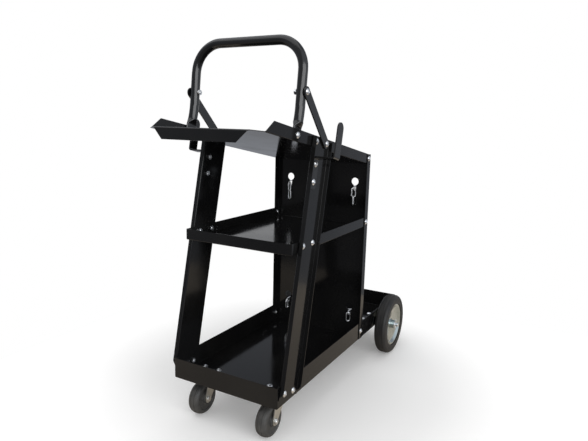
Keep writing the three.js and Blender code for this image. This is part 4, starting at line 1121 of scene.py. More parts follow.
@dataclass
class SideBolts:
    """Every bolt through the cart's sides, each one set on the faces that it clamps."""

    bolt: Bolt
    names: tuple[str, ...] = (
        "leg_top_front", "brace_foot", "hook_upper", "hook_lower", "shelf_front", "shelf_rear", "foot_front",
        "foot_rear", "panel_top", "panel_middle", "panel_bottom", "handle_end", "brace_top",
    )
    cad_nut: float = 4.6 * MM
    cad_head: float = 3.6 * MM

    def build(self) -> list[bpy.types.Object]:
        """Models one head and one nut, copies them to every bolt and dresses them.

        Returns:
            The finished bolts.
        """
        head, nut = self.bolt.head("head_pattern", 0), self.bolt.nut("nut_pattern", 0)
        for pattern in (head, nut):
            Bench.soften(pattern, 35)
        made = []
        for order, name in enumerate(self.names):
            for side in Side:
                node = f"{side.word}_{name}_bolt"
                low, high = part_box(node)
                middle = (low + high) / 2
                outer, inner = (high.x, low.x) if side is Side.RIGHT else (-low.x, -high.x)
                turn = Matrix.Rotation(math.radians(37 * order), 3, "X")
                if side is Side.LEFT:
                    turn = Matrix.Rotation(math.pi, 3, "Z") @ turn
                seat = side.value * (outer - self.cad_head - LAP_GAP / 2)
                face = side.value * (inner + self.cad_nut + LAP_GAP / 2)
                top = Bench.place(Bench.copy(head, node + "_head"), turn, (seat, middle.y, middle.z))
                back = Bench.place(Bench.copy(nut, node + "_nut"), turn, (face, middle.y, middle.z))
                piece = Bench.join(node + "_set", top, back)
                made.append(dress(piece, BRIGHT_ZINC, Body.FRAME.on(), node))
        for pattern in (head, nut):
            bpy.data.objects.remove(pattern)
        return made


@dataclass
class RearAxle:
    """The axle rod, its two strap brackets and their floor bolts."""

    bolt: Bolt
    chamfer: float = 0.8 * MM
    strap: float = 2.5 * MM
    strap_width: float = 30 * MM
    clearance: float = 0.3 * MM
    ear_reach: float = 34 * MM
    bolt_reach: float = 24 * MM
    bend: float = 2.5 * MM

    def build(self) -> list[bpy.types.Object]:
        """Models the rod, the brackets and their bolts and dresses them.

        Returns:
            The finished pieces.
        """
        low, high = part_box("rear_axle")
        middle = (low + high) / 2
        radius = (high.z - low.z) / 2
        half = high.x
        profile = [(0, -half), (radius - self.chamfer, -half), (radius, self.chamfer - half),
                   (radius, half - self.chamfer), (radius - self.chamfer, half), (0, half)]
        rod = Bench.turned("rear_axle_rod", profile, (0, middle.y, middle.z), 1, 32)
        Bench.soften(rod)
        made = [dress(rod, BRIGHT_ZINC, Body.FRAME.on(), "rear_axle")]
        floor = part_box("bottom_tray")[0].z
        ear = floor - LAP_GAP - self.strap / 2
        saddle = radius + self.clearance + self.strap / 2
        for side in Side:
            node = side.word + "_axle_bracket"
            box_low, box_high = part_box(node)
            start = (box_low.x + box_high.x) / 2 - self.strap_width / 2
            line = [(start, middle.y - self.ear_reach, ear)]
            line += filleted([(start, middle.y - self.ear_reach, ear), (start, middle.y - saddle, ear),
                              (start, middle.y - saddle, middle.z)], self.strap / 2)[1:-1]
            line += [(start, y, z) for y, z in arc((middle.y, middle.z), saddle, math.pi, 2 * math.pi, 14)]
            line += filleted([(start, middle.y + saddle, middle.z), (start, middle.y + saddle, ear),
                              (start, middle.y + self.ear_reach, ear)], self.strap / 2)[1:]
            strap = Bench.strip(node + "_strap", line, (self.strap_width, 0, 0), self.strap, 0.0)
            Bench.break_edges(strap, 0.4 * MM)
            made.append(dress(strap, DULL_ZINC, Body.FRAME.on(), node))
            for end in (-1, 1):
                place = (start + self.strap_width / 2, middle.y + end * self.bolt_reach)
                made.append(floor_bolt(self.bolt, f"{node}_bolt_{'front' if end < 0 else 'rear'}", *place,
                                       ear - self.strap / 2))
        return made


def floor_bolt(bolt: Bolt, name: str, x: float, y: float, under: float) -> bpy.types.Object:
    """A bolt that stands in the base tray's floor, with its nut underneath.

    Args:
        bolt: the bolt's sizes.
        name: the piece's name.
        x: its place across the cart.
        y: its place along the cart.
        under: the height of the face that its nut bears on.

    Returns:
        The finished bolt.
    """
    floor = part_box("bottom_tray")[0].z + SHEET + LAP_GAP / 2
    up = Matrix.Rotation(-math.pi / 2, 3, "Y") @ Matrix.Rotation(math.radians(20 + 900 * x), 3, "X")
    head = Bench.place(bolt.head(name + "_head", 0), up, (x, y, floor))
    nut = Bench.place(bolt.nut(name + "_nut", 0), up, (x, y, under))
    piece = Bench.join(name, head, nut)
    Bench.soften(piece, 35)
    return dress(piece, BRIGHT_ZINC, Body.FRAME.on())


@dataclass
class RearWheels:
    """The rubber tyres with their cut tread, the dished discs, washers and split pins."""

    depth: float = 23 * MM
    tread_sectors: int = 264
    groove_every: int = 3
    groove_depth: float = 1.5 * MM
    tread_twist: float = math.radians(14)
    line_depth: float = 0.9 * MM
    line_width: float = 1.3 * MM
    web: float = 1.6 * MM
    dish: float = 9 * MM
    rim_inset: float = 3 * MM
    rim_flange: float = 5 * MM
    hub_radius: float = 11 * MM
    pin_radius: float = 1.2 * MM
    pin_length: float = 20 * MM
    eye: float = 2.6 * MM

    def tyre_profile(self, radius: float, width: float) -> list[tuple[float, float]]:
        """The tyre's section: round shoulders, two shoulder lines and a crowned tread.

        Args:
            radius: the wheel's radius.
            width: the tyre's width.

        Returns:
            Pairs of radius and distance across, closed on itself.
        """
        rim = radius - self.depth
        wall = radius - 9 * MM
        half = [(rim, 0.6 * MM), (rim + 2.0 * MM, 0), (rim + 4 * MM, 0.2 * MM), (wall - 4.4 * MM, 0.2 * MM),
                (wall - 3.6 * MM, 0.9 * MM), (wall - 2.8 * MM, 0.2 * MM), (wall, 0.3 * MM)]
        centre = (wall - 0.6 * MM, 9.6 * MM)
        half += arc_points(centre, 9.6 * MM, 9.3 * MM, 0.12, 0.78, 6)
        crown = radius
        shoulder = half[-1]
        half += [(shoulder[0] + 0.35 * MM, shoulder[1] + 0.8 * MM),
                 (shoulder[0] + 0.35 * MM - self.line_depth, shoulder[1] + 1.2 * MM),
                 (shoulder[0] + 0.45 * MM - self.line_depth, shoulder[1] + 1.2 * MM + self.line_width),
                 (shoulder[0] + 1.0 * MM, shoulder[1] + 1.7 * MM + self.line_width)]
        half += [(crown - 0.55 * MM, width / 2 - 5.6 * MM), (crown - 0.12 * MM, width / 2 - 2.4 * MM),
                 (crown - 0.9 * MM, width / 2 - 1.6 * MM), (crown - 0.9 * MM, width / 2 - 0.8 * MM),
                 (crown, width / 2 - 0.3 * MM)]
        other = [(r, width - along) for r, along in reversed(half)]
        return [*half, *other, half[0]]

    def tyre(self, side: Side) -> bpy.types.Object:
        """Models a tyre: turned section, tread cuts pressed in, then twisted into slants.

        Args:
            side: the side of the cart.

        Returns:
            The finished tyre, without its finish.
        """
        low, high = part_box(side.word + "_rear_tyre")
        middle = (low + high) / 2
        radius, width = (high.z - low.z) / 2, high.x - low.x
        start = low.x if side is Side.RIGHT else high.x
        profile = self.tyre_profile(radius, width)
        tyre = Bench.turned(side.word + "_rear_tyre_rubber", profile, (start, middle.y, middle.z), side.value,
                            self.tread_sectors)
        Bench.edit(tyre)
        sector = 2 * math.pi / self.tread_sectors

        def in_cut(face: bmesh.types.BMFace) -> bool:
            """Whether a face lies on the tread, in a sector that is cut."""
            spot = face.calc_center_median() - middle
            reach = math.hypot(spot.y, spot.z)
            turn = math.atan2(spot.z, spot.y) % (2 * math.pi)
            inner_half = -width / 2 + 3.4 * MM < spot.x * side.value < -1.8 * MM
            return inner_half and reach > radius - 6.5 * MM and int(turn / sector) % self.groove_every == 0

        Bench.pick(tyre, "FACE", in_cut)
        bpy.ops.mesh.extrude_region_shrink_fatten(TRANSFORM_OT_shrink_fatten={"value": -self.groove_depth})
        Bench.close(tyre, tidy=False)
        hub = bpy.data.objects.new("tyre_hub", None)
        bpy.context.scene.collection.objects.link(hub)
        hub.location = middle
        bpy.context.view_layer.update()
        Bench.modify(tyre, "SIMPLE_DEFORM", deform_method="TWIST", deform_axis="X", origin=hub,
                     angle=side.value * self.tread_twist)
        bpy.data.objects.remove(hub)
        Bench.soften(tyre, 35)
        return tyre

    def disc(self, side: Side) -> bpy.types.Object:
        """Models a disc pressed from sheet: rolled rim, dished web and a hub sleeve.

        Args:
            side: the side of the cart.

        Returns:
            The finished disc, without its finish.
        """
        tyre_low, tyre_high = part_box(side.word + "_rear_tyre")
        low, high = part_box(side.word + "_rear_wheel_disc")
        axle_low, axle_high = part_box("rear_axle")
        middle = (tyre_low + tyre_high) / 2
        width = tyre_high.x - tyre_low.x
        start = tyre_low.x if side is Side.RIGHT else tyre_high.x
        inner_end = -(tyre_low.x - low.x) if side is Side.RIGHT else -(high.x - tyre_high.x)
        rim = (high.z - low.z) / 2
        bore = (axle_high.z - axle_low.z) / 2 + 0.3 * MM
        face = width - self.rim_inset
        floor = face - self.dish - 1.2 * MM
        lip = rim - self.rim_flange
        front = [(bore, width), (self.hub_radius - 0.8 * MM, width), (self.hub_radius, width - 0.8 * MM),
                 (self.hub_radius + 0.6 * MM, floor + 3.2 * MM), (self.hub_radius + 1.4 * MM, floor + 1.2 * MM),
                 (self.hub_radius + 3.2 * MM, floor + 0.2 * MM), (self.hub_radius + 6 * MM, floor),
                 (self.hub_radius + 9 * MM, floor + 0.4 * MM), (lip - 14 * MM, floor + 3.4 * MM),
                 (lip - 9 * MM, floor + 4.6 * MM), (lip - 5.6 * MM, floor + 6.0 * MM),
                 (lip - 2.8 * MM, floor + 8.0 * MM), (lip - 0.8 * MM, face - 0.7 * MM),
                 (lip + 0.8 * MM, face + 0.2 * MM), (lip + 2.6 * MM, face + 0.5 * MM), (rim - 0.8 * MM, face + 0.2 * MM),
                 (rim, face - 0.8 * MM)]
        back = [(rim, self.rim_inset + 0.8 * MM), (rim - 0.8 * MM, self.rim_inset), (lip - self.web, self.rim_inset),
                (lip - self.web - 0.6 * MM, self.rim_inset + 1.5 * MM), (lip - 3.4 * MM, floor + 3 * MM),
                (lip - 9 * MM, floor + 4.6 * MM - self.web), (lip - 14 * MM, floor + 3.4 * MM - self.web),
                (self.hub_radius + 6 * MM, floor - self.web), (self.hub_radius, floor - self.web),
                (self.hub_radius, inner_end + 0.8 * MM), (self.hub_radius - 0.8 * MM, inner_end), (bore, inner_end),
                (bore, width)]
        disc = Bench.turned(side.word + "_rear_wheel_pressing", [*front, *back], (start, middle.y, middle.z), side.value, 96)
        Bench.soften(disc, 32)
        return disc

    def build(self) -> list[bpy.types.Object]:
        """Models both wheels with their washers and split pins and dresses them.

        Returns:
            The finished pieces.
        """
        made = []
        for side in Side:
            body = Body.REAR_WHEEL.on(side)
            made.append(dress(self.tyre(side), TYRE_RUBBER, body, side.word + "_rear_tyre"))
            # The disc's zinc colour carries painted shade: it is darker than real zinc plate.
            made.append(dress(self.disc(side), WHEEL_ZINC_PAINTED_SHADE, body, side.word + "_rear_wheel_disc"))
            made.append(dress(self.washer(side), BRIGHT_ZINC, Body.FRAME.on(), side.word + "_axle_washer"))
            made.append(dress(self.pin(side), BRIGHT_ZINC, Body.FRAME.on(), side.word + "_cotter_pin"))
        return made

    def washer(self, side: Side) -> bpy.types.Object:
        """Models a plain washer with broken edges, in its node's box."""
        low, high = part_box(side.word + "_axle_washer")
        axle_low, axle_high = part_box("rear_axle")
        middle = (low + high) / 2
        radius, thick = (high.z - low.z) / 2, high.x - low.x
        bore, off = (axle_high.z - axle_low.z) / 2 + 0.3 * MM, 0.25 * MM
        profile = [(bore, 0), (radius - off, 0), (radius, off), (radius, thick - off), (radius - off, thick),
                   (bore, thick), (bore, 0)]
        washer = Bench.turned(side.word + "_axle_washer_ring", profile, (low.x, middle.y, middle.z), 1, 48)
        Bench.soften(washer)
        return washer

    def pin(self, side: Side) -> bpy.types.Object:
        """Models a split pin: two half-round legs, one bent aside, and a round eye.

        Args:
            side: the side of the cart.

        Returns:
            The finished pin, without its finish.
        """
        low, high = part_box(side.word + "_cotter_pin")
        middle = (low + high) / 2
        foot, eye_middle = low.z, high.z - self.eye - self.pin_radius
        half = self.pin_radius * 0.55
        line = [(0, -half - 3.4 * MM, foot + 0.6 * MM), (0, -half - 1.2 * MM, foot + 1.6 * MM), (0, -half, foot + 4 * MM),
                (0, -half, eye_middle - self.eye * 0.9)]
        line += [(0, y, z) for y, z in arc((0, eye_middle), self.eye, 1.5 * math.pi - 0.3, -0.5 * math.pi + 0.3, 20)]
        line += [(0, half, eye_middle - self.eye * 0.9), (0, half, foot + 4 * MM), (0, half + 0.6 * MM, foot + 1.6 * MM),
                 (0, half + 1.4 * MM, foot)]
        points = [Vector((middle.x, middle.y + y, z)) for _, y, z in line]
        pin = wire(side.word + "_cotter_pin_wire", points, self.pin_radius * 0.62)
        Bench.soften(pin, 60)
        return pin


def arc_points(centre: Point, across: float, up: float, start: float, end: float, steps: int) -> list[tuple[float, float]]:
    """Points on a tyre shoulder's ellipse, as radius and distance across.

    Args:
        centre: the ellipse's middle, as radius and distance across.
        across: its half axis along the axle.
        up: its half axis along the radius.
        start: the first share of a quarter turn.
        end: the last share of a quarter turn.
        steps: how many edges the arc has.

    Returns:
        The points from start to end.
    """
    made = []
    for step in range(steps + 1):
        turn = (start + (end - start) * step / steps) * math.pi / 2
        made.append((centre[0] + up * math.sin(turn), centre[1] - across * math.cos(turn)))
    return made


def wire(name: str, points: Sequence[Vector], radius: float, closed: bool = False, sides: int = 4) -> bpy.types.Object:
    """Models a round wire along a line of points.

    Args:
        name: the piece's name.
        points: the wire's middle line.
        radius: the wire's radius.
        closed: whether the line runs back to its start.
        sides: the curve's bevel resolution.

    Returns:
        The wire as a mesh.
    """
    Bench.clear()
    bpy.ops.curve.primitive_nurbs_path_add()
    path = bpy.context.object
    path.name = name
    curve = path.data
    curve.splines.clear()
    spline = curve.splines.new("POLY")
    spline.points.add(len(points) - 1)
    for point, place in zip(spline.points, points):
        point.co = (*place, 1)
    spline.use_cyclic_u = closed
    curve.dimensions = "3D"
    curve.bevel_depth = radius
    curve.bevel_resolution = sides
    curve.use_fill_caps = not closed
    bpy.ops.object.convert(target="MESH")
    made = bpy.context.object
    made.data.name = name
    Bench.edit(made)
    return Bench.close(made)


@dataclass
class Casters:
    """The two swivel casters: bolted plate with its race, pressed fork, axle bolt and ribbed wheel."""

    bolt: Bolt
    plate: float = 2.5 * MM
    bolt_x: float = 38.8 * MM
    bolt_y: float = 32 * MM
    plate_corner: float = 5 * MM
    race_radius: float = 19 * MM
    fork_bar: float = 2.5 * MM
    fork_crown: float = 19 * MM
    fork_eye: float = 9 * MM
    cheek_drop: float = 9.5 * MM
    eye_turn: float = math.radians(12)
    axle_head: float = 3 * MM
    low_nut: float = 3.2 * MM
    hub_stand: float = 1.2 * MM

    def build(self) -> list[bpy.types.Object]:
        """Models both casters and dresses them.

        Returns:
            The finished pieces.
        """
        made = []
        for side in Side:
            made += self.top(side)
            swivel = Body.CASTER_SWIVEL.on(side)
            made.append(dress(self.fork(side), DULL_ZINC, swivel, side.word + "_caster_fork"))
            made.append(dress(self.axle(side), BRIGHT_ZINC, swivel, side.word + "_caster_axle"))
            made.append(dress(self.wheel(side), CASTER_RUBBER, Body.CASTER_ROLLER.on(side),
                              side.word + "_caster_wheel"))
        return made

    def swivel(self, side: Side) -> Vector:
        """The swivel's middle at the height of the plate's underside."""
        low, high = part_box(side.word + "_caster_plate")
        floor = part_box("bottom_tray")[0].z
        return Vector(((low.x + high.x) / 2, (low.y + high.y) / 2, floor - LAP_GAP - self.plate))

    def top(self, side: Side) -> list[bpy.types.Object]:
        """Models the plate with its race and kingpin, and the four bolts that hold it.

        Args:
            side: the side of the cart.

        Returns:
            The finished plate and bolts.
        """
        node = side.word + "_caster_plate"
        low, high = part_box(node)
        middle = self.swivel(side)
        Bench.clear()
        bpy.ops.mesh.primitive_cube_add(size=1, location=(middle.x, middle.y, middle.z + self.plate / 2))
        plate = bpy.context.object
        plate.scale = (high.x - low.x, high.y - low.y, self.plate)
        bpy.ops.object.transform_apply(location=True, rotation=True, scale=True)
        Bench.edit(plate)
        Bench.pick(plate, "EDGE", lambda edge: abs(edge.verts[0].co.z - edge.verts[1].co.z) > self.plate / 2)
        bpy.ops.mesh.bevel(offset=self.plate_corner, segments=6, affect="EDGES")
        Bench.close(plate)
        Bench.break_edges(plate, 0.5 * MM)
        fork_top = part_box(side.word + "_caster_fork")[1].z
        pin_end = low.z
        depth = middle.z - fork_top - 0.3 * MM
        race = [(0, 0), (self.race_radius - 3 * MM, 0), (self.race_radius - 1.2 * MM, 0.5 * MM),
                (self.race_radius, depth * 0.45), (self.race_radius - 0.6 * MM, depth * 0.6),
                (self.race_radius, depth * 0.75), (self.race_radius - 1.5 * MM, depth), (5 * MM, depth),
                (5 * MM, middle.z - pin_end - 2 * MM), (8 * MM, middle.z - pin_end - 2 * MM),
                (8 * MM, middle.z - pin_end - 0.4 * MM), (7.4 * MM, middle.z - pin_end), (0, middle.z - pin_end)]
        turned = Bench.turned(node + "_race", race, (0, 0, 0), 1, 48)
        Bench.soften(turned, 30)
        Bench.place(turned, Matrix.Rotation(math.pi / 2, 3, "Y"), middle)
        whole = Bench.join(node + "_top", plate, turned)
        made = [dress(whole, DULL_ZINC, Body.FRAME.on(), node)]
        bolt = replace(self.bolt, nut_height=self.low_nut)
        for across in (-1, 1):
            for along in (-1, 1):
                spot = f"{'in' if across * side.value < 0 else 'out'}_{'front' if along < 0 else 'rear'}"
                made.append(floor_bolt(bolt, f"{side.word}_caster_bolt_{spot}", middle.x + across * self.bolt_x / 2,
                                       middle.y + along * self.bolt_y / 2, middle.z))
        return made

    def fork(self, side: Side) -> bpy.types.Object:
        """Models the fork: a bent strap with tapered cheeks and round eyes.

        Args:
            side: the side of the cart.

        Returns:
            The finished fork, without its finish.
        """
        node = side.word + "_caster_fork"
        low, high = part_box(node)
        wheel_low, wheel_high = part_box(side.word + "_caster_wheel")
        axle = (wheel_low + wheel_high) / 2
        middle = self.swivel(side)
        section = filleted([(low.x, -0.06, low.z), (low.x, -0.06, high.z), (high.x, -0.06, high.z),
                            (high.x, -0.06, low.z)], 4 * MM, 6)
        fork = Bench.strip(node + "_pressing", section, (0, 0.12, 0), self.fork_bar, -1.0)
        crown = self.fork_crown
        radius = self.fork_eye
        under = high.z - self.fork_bar - self.cheek_drop
        outline = [(crown, high.z + 1 * MM), (-crown + 4 * MM, high.z + 1 * MM), (-crown, high.z - 4 * MM),
                   (-crown, high.z - 9 * MM), (axle.y - middle.y - radius, axle.z + 7 * MM)]
        outline += arc((axle.y - middle.y, axle.z), radius, math.pi, 2 * math.pi - self.eye_turn, 14)
        outline += [(crown - 8 * MM, under - 5 * MM), (crown - 1 * MM, under + 3 * MM), (crown, under + 6 * MM)]
        trim = Bench.plate("fork_trim", [(low.x - 5 * MM, y, z) for y, z in outline], (high.x - low.x + 10 * MM, 0, 0))
        Bench.carve(fork, trim, "INTERSECT")
        hole = Bench.turned("kingpin_hole", [(0, -20 * MM), (5.6 * MM, -20 * MM), (5.6 * MM, 20 * MM), (0, 20 * MM)],
                            (0, 0, 0), 1, 32)
        Bench.place(hole, Matrix.Rotation(math.pi / 2, 3, "Y"), (middle.x, 0, high.z))
        Bench.carve(fork, hole)
        Bench.place(fork, Matrix.Identity(3), (0, middle.y, 0))
        Bench.break_edges(fork, 0.4 * MM)
        return fork

    def axle(self, side: Side) -> bpy.types.Object:
        """Models the axle bolt: a hexagon head outside and a nut with its thread end inside.

        Args:
            side: the side of the cart.

        Returns:
            The finished axle bolt, without its finish.
        """
        low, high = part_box(side.word + "_caster_axle")
        middle = (low + high) / 2
        half = (high.x - low.x) / 2
        seat = half - self.axle_head
        rod = Bench.turned(side.word + "_caster_axle_bolt", [(0, -seat), (4 * MM, -seat), (4 * MM, seat), (0, seat)],
                           (0, 0, 0), 1, 24)
        parts = [rod]
        for end in (-1, 1):
            hexagon = Bench.turned("axle_hexagon", [(0, seat), (6.5 * MM, seat), (6.5 * MM, half), (0, half)],
                                   (0, 0, 0), end, 6)
            cone = Bench.turned("axle_chamfer", [(0, seat), (6.5 * MM, seat), (6.5 * MM, half - 0.7 * MM),
                                                 (5.6 * MM, half), (0, half)], (0, 0, 0), end, 32)
            Bench.carve(hexagon, cone, "INTERSECT")
            parts.append(hexagon)
        tip = Bench.turned("axle_tip", [(0, half - 1 * MM), (4 * MM, half - 1 * MM), (4 * MM, half + 0.5 * MM),
                                        (3.3 * MM, half + 1.2 * MM), (0, half + 1.2 * MM)], (0, 0, 0), side.value, 24)
        whole = Bench.join(side.word + "_caster_axle_bolt", *parts, tip)
        Bench.place(whole, Matrix.Rotation(math.radians(11), 3, "X"), middle)
        Bench.soften(whole, 35)
        return whole

    def wheel(self, side: Side) -> bpy.types.Object:
        """Models the wheel: a hub, a recessed web and a round tread with three ribs.

        Args:
            side: the side of the cart.

        Returns:
            The finished wheel, without its finish.
        """
        low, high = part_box(side.word + "_caster_wheel")
        middle = (low + high) / 2
        radius = (high.z - low.z) / 2
        hub_half = (high.x - low.x) / 2
        half = hub_half - self.hub_stand
        profile = [(4.3 * MM, hub_half), (11 * MM, hub_half), (12 * MM, hub_half - 0.8 * MM), (12.6 * MM, half - 2.4 * MM),
                   (14 * MM, half - 3.2 * MM), (22 * MM, half - 3.2 * MM), (24.5 * MM, half - 2.6 * MM),
                   (25.6 * MM, half - 0.9 * MM), (26.6 * MM, half - 0.2 * MM), (28 * MM, half)]
        centre = 28.0 * MM
        for step in range(1, 6):
            turn = math.radians(15 * step)
            profile.append((centre + (radius - centre) * 0.94 * math.sin(turn), 3.6 * MM + (half - 3.6 * MM) * math.cos(turn)))
        groove = 0.8 * MM
        profile += [(radius - 0.42 * MM, 5.3 * MM), (radius - 0.4 * MM - groove, 4.9 * MM),
                    (radius - 0.4 * MM - groove, 3.9 * MM), (radius - 0.14 * MM, 3.5 * MM), (radius, 1.5 * MM)]
        other = [(r, -along) for r, along in reversed(profile)]
        wheel = Bench.turned(side.word + "_caster_wheel_rubber", [*profile, *other, profile[0]], middle, 1, 72)
        Bench.soften(wheel, 38)
        return wheel


@dataclass
class SafetyChains:
    """The two chains: a link through each keyhole's slot, tails in front and a loop behind the panel."""

    wire_width: float = 2.8 * MM
    link_width: float = 12.5 * MM
    pitch: float = 20.4 * MM
    bite: float = 0.6 * MM
    keyhole_inset: float = 37 * MM
    slack: tuple[float, float] = (80 * MM, 0.0)
    tails: tuple[int, int] = (2, 1)
    left_rolls: tuple[float, float] = (math.radians(87), math.radians(-27))
    right_rolls: tuple[float, float] = (math.radians(33), math.radians(105))

    def link(self) -> bpy.types.Object:
        """Models one welded link of round wire, standing along Z in the plane y = 0."""
        bend = (self.link_width - self.wire_width) / 2
        straight = (self.pitch + self.bite + self.wire_width) / 2 - bend
        line = arc((0, straight), bend, 0, math.pi, 12) + arc((0, -straight), bend, math.pi, 2 * math.pi, 12)
        link = wire("chain_link", [Vector((x, 0, z)) for x, z in line], self.wire_width / 2, closed=True, sides=4)
        Bench.soften(link, 60)
        return link

    def loop(self, ends: tuple[Vector, Vector], length: float, count: int) -> list[tuple[Vector, Vector]]:
        """Places the links of a slack loop between two points.

        Args:
            ends: the loop's two ends, at one height.
            length: the loop's length.
            count: how many links it has.

        Returns:
            Each link's middle and direction.
        """
        left, right = ends
        fine = 400

        def sagging(sag: float) -> list[Vector]:
            """Points along a loop that sags by this much."""
            low = (left + right) / 2 - Vector((0, 0, 2 * sag))
            shares = [step / fine for step in range(fine + 1)]
            return [left * (1 - s) ** 2 + low * 2 * s * (1 - s) + right * s ** 2 for s in shares]

        def reach(line: list[Vector]) -> float:
            """The length of a line of points."""
            return sum((b - a).length for a, b in zip(line, line[1:]))

        least, most = 0.0, length
        for _ in range(40):
            trial = (least + most) / 2
            if reach(sagging(trial)) > length:
                most = trial
            else:
                least = trial
        line = sagging(least)
        whole, walked, found = reach(line), 0.0, []
        for a, b in zip(line, line[1:]):
            step = (b - a).length
            while len(found) < count and walked + step >= whole * (len(found) + 0.5) / count:
                share = (whole * (len(found) + 0.5) / count - walked) / step
                found.append((a.lerp(b, share), (b - a).normalized()))
            walked += step
        return found

    def build(self) -> list[bpy.types.Object]:
        """Models both chains link by link and dresses them.

        Returns:
            The finished chains.
        """
        pattern = self.link()
        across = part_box("bottom_tray")[1].x - self.keyhole_inset
        panel_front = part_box("back_panel")[1].y - SHEET
        hang = self.pitch + self.bite
        reach = (self.pitch + self.wire_width) / 2
        hold = self.wire_width - self.bite
        tail_y = panel_front - LAP_GAP - (self.link_width + self.wire_width) * math.sqrt(0.5) / 2
        slot_y = tail_y - hold + reach
        loop_y = slot_y + reach - hold
        made = []
        for level, slack, tail in zip(("upper", "lower"), self.slack, self.tails):
            node = level + "_chain"
            link_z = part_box(node)[1].z - self.link_width / 2
            places: list[tuple[Vector, Vector, float]] = []
            for side in Side:
                x = side.value * across
                places.append((Vector((x, slot_y, link_z)), Vector((0, 1, 0)), math.pi / 2))
                rolls = self.left_rolls if side is Side.LEFT else self.right_rolls
                for step, roll in enumerate(rolls[:tail]):
                    depth = self.link_width * abs(math.sin(roll)) + self.wire_width * abs(math.cos(roll))
                    y = min(tail_y, panel_front - LAP_GAP - depth / 2)
                    spot = Vector((x, y, link_z - hang * (step + 0.5)))
                    places.append((spot, Vector((0, 0, 1)), roll))
            count = 2 * math.ceil(((2 * across + slack) / hang - 1) / 2) + 1
            ends = (Vector((-across, loop_y, link_z)), Vector((across, loop_y, link_z)))
            for step, (spot, way) in enumerate(self.loop(ends, count * hang, count)):
                places.append((spot, way, (step % 2) * math.pi / 2))
            links = []
            for order, (spot, way, roll) in enumerate(places):
                turn = Vector((0, 0, 1)).rotation_difference(way).to_matrix() @ Matrix.Rotation(roll, 3, "Z")
                links.append(Bench.place(Bench.copy(pattern, f"{node}_link_{order}"), turn, spot))
            made.append(dress(Bench.join(node + "_links", *links), CHAIN_ZINC, Body.FRAME.on(), node))
        bpy.data.objects.remove(pattern)
        return made


